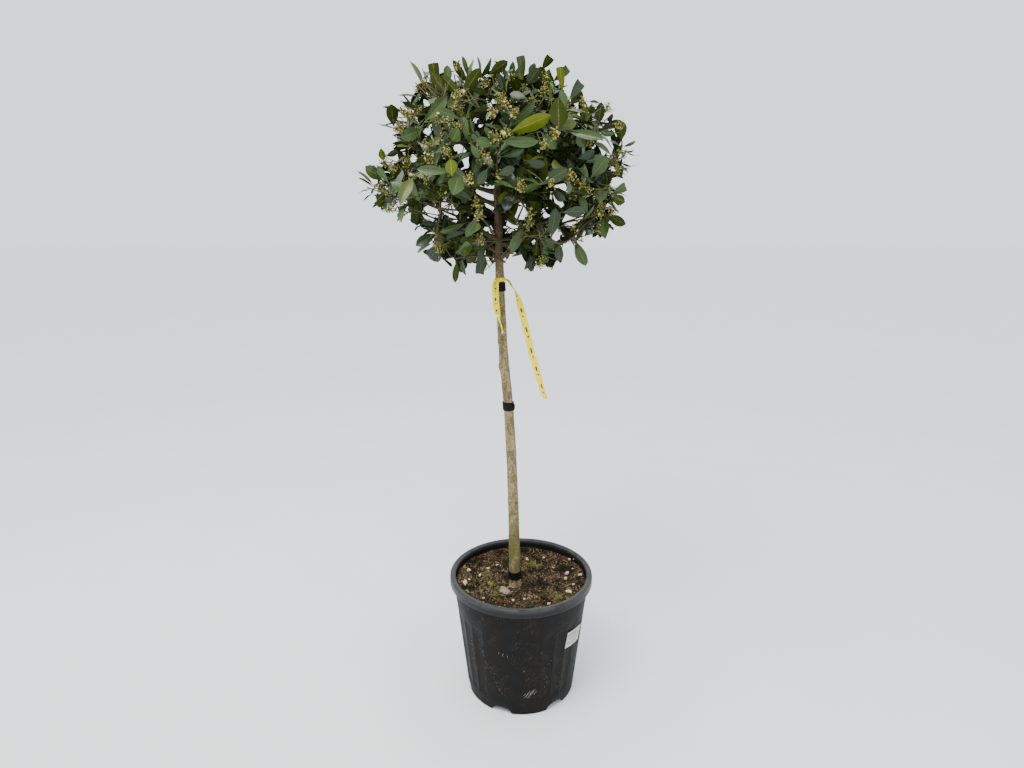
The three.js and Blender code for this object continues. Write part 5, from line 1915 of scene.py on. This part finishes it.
# Leaves that show in their own right, mostly at the head's outline: each one's base, the way from there to
# its tip, its turn, breadth, tint and shape.
PORTRAITS = (
    (-232, -18, 1614, -32, 15, 61, 62, 1.13, MID, 0), (-212, -32, 1607, -40, 22, 11, 150, 1.4, DEEP, 0),
    (-200, -28, 1606, -9, 6, 61, 176, 1.15, OLIVE, 6), (-174, -61, 1590, -38, 20, 56, 186, 1.19, OLIVE, 0),
    (-141, -81, 1584, -46, 24, 51, 170, 1.07, OLIVE, 2), (-173, -22, 1622, -4, 5, 42, 15, 1.47, MID, 3),
    (-126, -17, 1621, -35, -23, 49, 190, 0.9, OLIVE, 0), (-129, -3, 1639, -12, -16, 44, 24, 0.85, MID, 0),
    (-141, -76, 1585, 46, -15, 58, 168, 1.13, OLIVE, 9), (-100, -13, 1643, -8, 16, 45, 60, 0.9, MID, 2),
    (-105, -11, 1633, 31, -2, 49, 50, 0.9, MID, 5), (-81, -26, 1641, 46, 12, 32, 185, 1.19, OLIVE, 9),
    (-133, -137, 1536, 35, 19, 73, 18, 0.85, DARK, 2), (-214, -179, 1518, 48, 22, 54, 0, 1.07, MID, 0),
    (-135, -203, 1523, -50, 16, 20, -10, 1.07, MID, 1), (-309, -1, 1530, 0, -24, 48, 180, 1.53, OLIVE, 9),
    (-277, -16, 1535, -30, -18, 5, 60, 1.13, DEEP, 0), (-242, 4, 1598, -50, -18, 0, 76, 1.02, MID, 0),
    (-251, -15, 1553, -31, -17, 46, 80, 1.02, DARK, 2), (-273, -22, 1568, -18, 18, 22, 82, 1.02, DARK, 2),
    (-250, -30, 1573, 20, 11, 28, 55, 1.13, DARK, 0), (-213, -71, 1563, -28, -8, 3, 75, 1.13, DEEP, 0),
    (-201, -100, 1560, -37, -13, -25, 150, 1.07, DARK, 0),
    (-225, -114, 1512, -47, -20, -21, 6, 1.53, MID, 1), (-135, -234, 1502, -14, -21, -30, -8, 2.15, MID, 3),
    (-155, -253, 1480, -33, 23, -13, 50, 1.13, DARK, 0), (-270, -14, 1491, -42, -6, -1, 118, 1.13, DARK, 0),
    (-333, 0, 1464, 33, -10, 11, 165, 1.36, DEEP, 0), (-332, -24, 1449, -6, -1, 31, 188, 1.47, LIME, 4),
    (-287, -93, 1439, 33, 18, 34, 48, 1.02, DARK, 0), (-150, -275, 1410, -70, 1, 6, 4, 0.9, MID, 0),
    (-145, -312, 1400, -5, 23, 34, 172, 1.75, LIME, 9), (-134, -297, 1403, -9, -25, -40, -16, 1.92, MID, 4),
    (-339, -11, 1406, -37, -21, 33, 10, 1.53, MID, 1), (-317, -56, 1399, -25, -3, 40, -30, 1.24, MID, 0),
    (-359, -23, 1394, -42, 12, 35, 62, 0.9, MID, 2), (-360, -9, 1390, -35, -22, 22, 66, 0.9, MID, 2),
    (-364, -15, 1385, -36, -4, -10, 66, 0.9, DARK, 8), (-366, -6, 1378, -18, -21, -19, 66, 0.9, DARK, 2),
    (-336, -21, 1373, -12, -20, -29, 182, 1.69, OLIVE, 0), (-315, -46, 1374, -8, -1, -32, 35, 1.47, DEEP, 1),
    (-330, -35, 1354, 3, 5, -26, 60, 1.47, DEEP, 4), (-300, -13, 1350, -14, -5, -19, 70, 1.24, DEEP, 4),
    (-302, -19, 1340, 22, 4, 14, 66, 1.24, DARK, 4), (-254, -40, 1356, -5, 19, -56, 176, 1.47, DARK, 1),
    (-252, -35, 1297, 28, 11, 5, 74, 1.36, DARK, 8), (-208, -39, 1283, -50, -18, -30, 25, 1.5, DARK, 0),
    (-217, -54, 1260, -43, 25, -25, 60, 1.13, MID, 0), (-202, -55, 1253, -26, 26, -33, 14, 1.92, DEEP, 7),
    (-193, -85, 1289, 13, -7, 37, 24, 1.06, DARK, 6), (-203, -53, 1312, -3, 12, 23, 70, 1.36, DARK, 4),
    (-127, -161, 1310, -61, -2, -22, -38, 1.02, MID, 0), (-98, -229, 1323, -27, 2, -44, 20, 1.13, MID, 3),
    (-124, -201, 1289, -48, 9, -15, 28, 1.13, DEEP, 2), (-166, -52, 1246, -25, -28, -25, 36, 1.36, DEEP, 7),
    (-162, -25, 1218, -7, 17, -58, 174, 0.79, MID, 9), (-149, -32, 1223, 9, 5, -44, 40, 1.02, DARK, 4),
    (-94, -138, 1265, -7, 16, -74, 12, 0.77, DEEP, 6), (-105, -261, 1353, -47, -7, 20, 22, 1.19, DARK, 0),
    (-73, -316, 1415, -21, 13, -30, 16, 1.47, DARK, 3), (-108, -318, 1463, 19, 8, -29, 18, 1.41, MID, 2),
    (-63, -310, 1457, -33, -14, 10, 8, 1.58, MID, 1), (-56, -241, 1535, -50, 10, -4, 166, 1.07, DEEP, 0),
    (-48, -281, 1488, -33, -3, 13, 60, 1.13, DARK, 0), (2, -15, 1630, -9, -23, 49, 12, 1.05, MID, 6),
    (0, -55, 1618, -12, 22, 30, 178, 1.02, OLIVE, 0), (6, -73, 1611, 32, 25, 42, 172, 1.36, DEEP, 1),
    (12, -26, 1643, 16, 16, 27, 160, 1.47, DEEP, 0), (42, -9, 1653, 22, -15, 27, 184, 1.5, OLIVE, 6),
    (66, -19, 1625, 38, -7, 31, 30, 1.25, MID, 6), (92, -50, 1596, -7, 14, 60, 186, 0.85, LIME, 6),
    (105, -34, 1583, 30, 10, 43, 20, 1.3, DARK, 6), (110, -32, 1575, 29, 18, 33, 158, 1.53, DEEP, 9),
    (92, -151, 1547, -12, 2, 40, 16, 1.47, MID, 0), (70, -259, 1491, -1, 26, 68, 178, 1.47, OLIVE, 4),
    (-33, -308, 1481, 83, -11, 32, 170, 1.07, LIME, 0), (-30, -273, 1497, 50, -22, 45, 26, 0.96, MID, 2),
    (-49, -314, 1466, 76, -25, -3, 14, 0.96, MID, 2), (-49, -312, 1436, 47, -13, 14, 40, 1.07, DARK, 0),
    (85, -223, 1495, 79, -26, -18, -16, 0.73, MID, 0), (31, -313, 1483, 32, 27, -29, 12, 1.3, MID, 0),
    (5, -222, 1559, -35, 12, 10, 34, 1.24, DARK, 1), (-13, -172, 1577, -6, -27, 23, 184, 1.81, OLIVE, 9),
    (-39, -132, 1584, -17, -16, 37, 30, 1.24, DEEP, 0), (176, -41, 1528, 6, 5, 53, 168, 1.47, DEEP, 0),
    (199, -6, 1548, 13, -25, 1, 150, 2.26, DEEP, 0), (184, -15, 1580, -29, -7, 3, 56, 1.13, DEEP, 5),
    (171, -52, 1555, -21, -17, 8, 180, 1.81, OLIVE, 0), (179, -34, 1520, 53, 11, 23, 158, 0.96, DEEP, 9),
    (237, -14, 1497, -4, 18, 50, 180, 1.58, OLIVE, 9), (177, -35, 1517, 38, 4, -6, 30, 1.24, MID, 9),
    (235, -15, 1484, -31, 20, 15, 56, 0.9, MID, 8), (240, -2, 1485, 34, 6, 14, 50, 0.9, DARK, 9),
    (245, 14, 1475, 22, -26, 2, 60, 0.79, DARK, 0), (246, 2, 1478, 38, 10, -10, 60, 0.68, MID, 8),
    (227, -13, 1454, 56, 28, -9, 62, 0.68, DARK, 8), (241, -18, 1461, -2, 26, -31, 52, 0.9, DARK, 2),
    (205, -81, 1458, -38, 18, 32, 46, 1.02, MID, 0), (152, -135, 1406, 32, -16, 44, 10, 1.53, MID, 1),
    (112, -217, 1440, 38, 7, 17, 28, 1.24, DEEP, 1), (109, -235, 1492, 14, 12, -29, 14, 1.69, MID, 3),
    (179, -58, 1417, 56, 23, 6, 160, 0.96, DEEP, 0), (202, -45, 1416, -5, -27, -29, 20, 1.81, DARK, 4),
    (214, -23, 1375, 36, 4, 19, 24, 1.6, MID, 6), (214, -28, 1368, 37, 16, -11, 178, 1.69, MID, 9),
    (176, -121, 1350, 2, 24, 34, 10, 2.26, MID, 1), (218, -17, 1357, 22, 24, -26, 58, 1.02, DARK, 0),
    (203, -26, 1326, 53, 18, -22, 160, 1.25, OLIVE, 9), (193, -46, 1328, 6, -10, -58, 8, 1.35, MID, 4),
    (211, -27, 1323, 23, 20, -21, 74, 0.9, DARK, 2), (129, -30, 1269, 31, 26, -67, 28, 1.1, MID, 9),
    (53, -81, 1268, 1, 0, -54, 8, 0.94, MID, 6), (89, -69, 1263, 0, 14, -48, 18, 1.24, DARK, 9),
    (75, -34, 1240, -8, -28, -39, 16, 1.47, DEEP, 7), (33, -89, 1277, -1, 21, -45, 180, 0.86, OLIVE, 6),
    (28, -42, 1238, -7, -1, -48, 20, 1.13, DEEP, 7), (-4, -85, 1270, 4, -15, -38, 30, 1.07, DEEP, 4),
    (1, -172, 1299, -29, 5, -55, 12, 1.07, MID, 1), (-8, -215, 1365, -22, -27, -52, 176, 0.73, OLIVE, 0),
    (59, -214, 1274, 10, 1, 66, 14, 1.24, DARK, 0), (83, -174, 1332, 57, 15, 4, 26, 1.3, DARK, 1),
    (144, -163, 1330, -18, 5, 36, 20, 1.36, MID, 3), (36, -318, 1386, -37, 26, -14, 22, 1.13, MID, 2),
    (-18, -319, 1375, -43, 4, 15, 56, 1.02, MID, 0), (33, -306, 1385, 52, 14, 30, 14, 1.24, DARK, 1),
    (-21, -256, 1377, -19, -22, -44, 24, 1.47, DEEP, 1), (59, -238, 1374, 28, -19, -19, 30, 1.47, DEEP, 1),
    (166, -75, 1403, 36, 0, -14, 66, 1.02, DARK, 2), (-142, -272, 1339, 28, 27, 6, 150, 1.58, DEEP, 0),
    (-55, -334, 1401, 35, 14, 14, 20, 1.36, DARK, 3), (0, -329, 1429, 40, 14, -8, 26, 1.24, DEEP, 1),
    (-165, -227, 1501, -25, 17, -10, 30, 1.58, DEEP, 1), (-115, -171, 1587, 36, 15, -7, 40, 1.24, MID, 3),
    (145, -186, 1366, -33, -21, 11, 150, 1.36, DEEP, 0),
)

# Flower clusters that show from the front.
CLUSTERS = (
    (-203, -233, 1466), (-199, -253, 1441), (-328, -36, 1446), (-300, -78, 1431), (-259, -143, 1433),
    (-343, -42, 1388), (-249, -161, 1407), (-209, -234, 1401), (-113, -316, 1396), (-148, -136, 1575),
    (-141, -177, 1549), (-88, -98, 1613), (-77, -327, 1435), (-50, -220, 1562), (-42, -245, 1544),
    (-66, -272, 1523), (-37, -319, 1480), (-26, -68, 1627), (49, -79, 1625), (43, -152, 1585),
    (139, -41, 1580), (-198, -66, 1272), (-213, -55, 1288), (-98, -280, 1347), (-96, -273, 1327),
    (-8, -320, 1381), (53, -306, 1387), (122, -218, 1393), (135, -181, 1374), (185, -68, 1344),
    (12, -251, 1327), (11, -226, 1304), (36, -311, 1457), (148, -133, 1481), (-274, -45, 1558),
    (-258, -61, 1547), (-296, -36, 1522), (-185, -193, 1523), (56, -299, 1482), (221, -5, 1453),
    (119, -76, 1296), (-95, -214, 1274), (-59, -322, 1472), (95, -138, 1561), (18, -201, 1557),
    (94, -261, 1405), (-157, -281, 1448), (-20, -286, 1521),
)

# Twigs that show bare from the front, by places along each.
CHOSEN_TWIGS = (
    ((-220, -105, 1350), (-176, -156, 1338), (-130, -208, 1334), (-80, -256, 1321)),
    ((-206, -123, 1356), (-168, -191, 1353), (-138, -242, 1346)),
    ((-66, -149, 1284), (-81, -188, 1306), (-99, -225, 1327)),
    ((64, -128, 1270), (90, -93, 1261), (119, -80, 1275), (143, -71, 1300), (174, -67, 1323)),
    ((-26, -92, 1287), (16, -128, 1279), (64, -128, 1270)),
    ((-16, -127, 1310), (-2, -196, 1342)),
    ((-43, -25, 1213), (-83, -74, 1230), (-136, -70, 1228), (-162, -55, 1224)),
    ((221, -5, 1453), (237, -5, 1476), (239, -5, 1498)),
    ((170, -80, 1422), (198, -38, 1436), (221, -5, 1453)),
    ((-35, -57, 1253), (-7, -115, 1274), (12, -181, 1302)),
    ((119, -80, 1275), (133, -42, 1260)),
)


@dataclass
class Studio:
    """A plain pale floor, soft light and the camera."""

    down: float = 14.04
    lens: float = 23.41
    sky_strength: float = 1.75
    lamp_power: float = 110.0

    def _floor(self) -> None:
        """The floor, far wider than the view."""
        bm = bmesh.new()
        ops.create_grid(bm, x_segments=1, y_segments=1, size=30000.0)
        ops.translate(bm, vec=(0, 0, -1.0), verts=bm.verts[:])
        pale = Matte("floor_pale", srgb(252, 252, 251), srgb(250, 250, 249), 300, 0.85, 0.1).make()
        floor = modelled("floor", bm, [pale])

    def _light(self) -> None:
        """An even pale sky, and a broad soft lamp above the viewer's left."""
        world = bpy.data.worlds.new("studio")
        world.use_nodes = True
        sky = world.node_tree.nodes["Background"]
        sky.inputs["Color"].default_value = srgb(236, 240, 246)
        sky.inputs["Strength"].default_value = self.sky_strength
        bpy.context.scene.world = world
        lamp = bpy.data.lights.new("softbox", "AREA")
        lamp.shape, lamp.size, lamp.energy = "DISK", 2.0, self.lamp_power
        item = bpy.data.objects.new("softbox", lamp)
        item.location = (-1.0, -1.4, 3.6)
        item.rotation_euler = (Vector((-0.06, 0, 1.3)) - item.location).to_track_quat("-Z", "Y").to_euler()
        bpy.context.scene.collection.objects.link(item)

    def _camera(self) -> None:
        """The camera of the photo's view."""
        lens = bpy.data.cameras.new("camera")
        lens.lens, lens.sensor_width = self.lens, 36.0
        lens.clip_start, lens.clip_end = 0.05, 200.0
        camera = bpy.data.objects.new("camera", lens)
        camera.location = VIEWER * METRES
        camera.rotation_euler = (radians(90 - self.down), 0, 0)
        bpy.context.scene.collection.objects.link(camera)
        bpy.context.scene.camera = camera

    def build(self) -> None:
        """Sets the stage."""
        self._floor()
        self._light()
        self._camera()


def build_plant() -> None:
    """Makes every piece of the plant and its pot."""
    pot = Pot()
    pot.build()
    Sticker().build(pot)
    Compost().build()
    stem = StemLine()
    plan = GrowthPlan(stem, Head())
    Limbs(stem, plan).build()
    rubber = Matte("band_rubber", srgb(7, 7, 8), srgb(16, 16, 16), 5, 0.6, 0.2, 0.12).make()
    for band in (
        Band("stem_band_low", 358, 21, 9),
        Band("stem_band_middle", 841, 22, buckle=True),
        Band("stem_band_high", 1151, 22),
    ):
        band.build(stem, rubber)
    Tape().build(stem)
    foliage = Foliage(plan)
    foliage.set_chosen()
    foliage.grow_leaves()
    foliage.build_leaves()
    foliage.build_twigs()
    foliage.build_blossom()
    log.info("%d leaves on %d shoots", len(foliage.leaves), len(foliage.shoots))


def main() -> None:
    """Builds the plant and its stage."""
    logging.basicConfig(level=logging.INFO, format="%(name)s %(message)s")
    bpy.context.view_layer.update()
    build_plant()
    Studio().build()


if __name__ == "__main__":
    main()
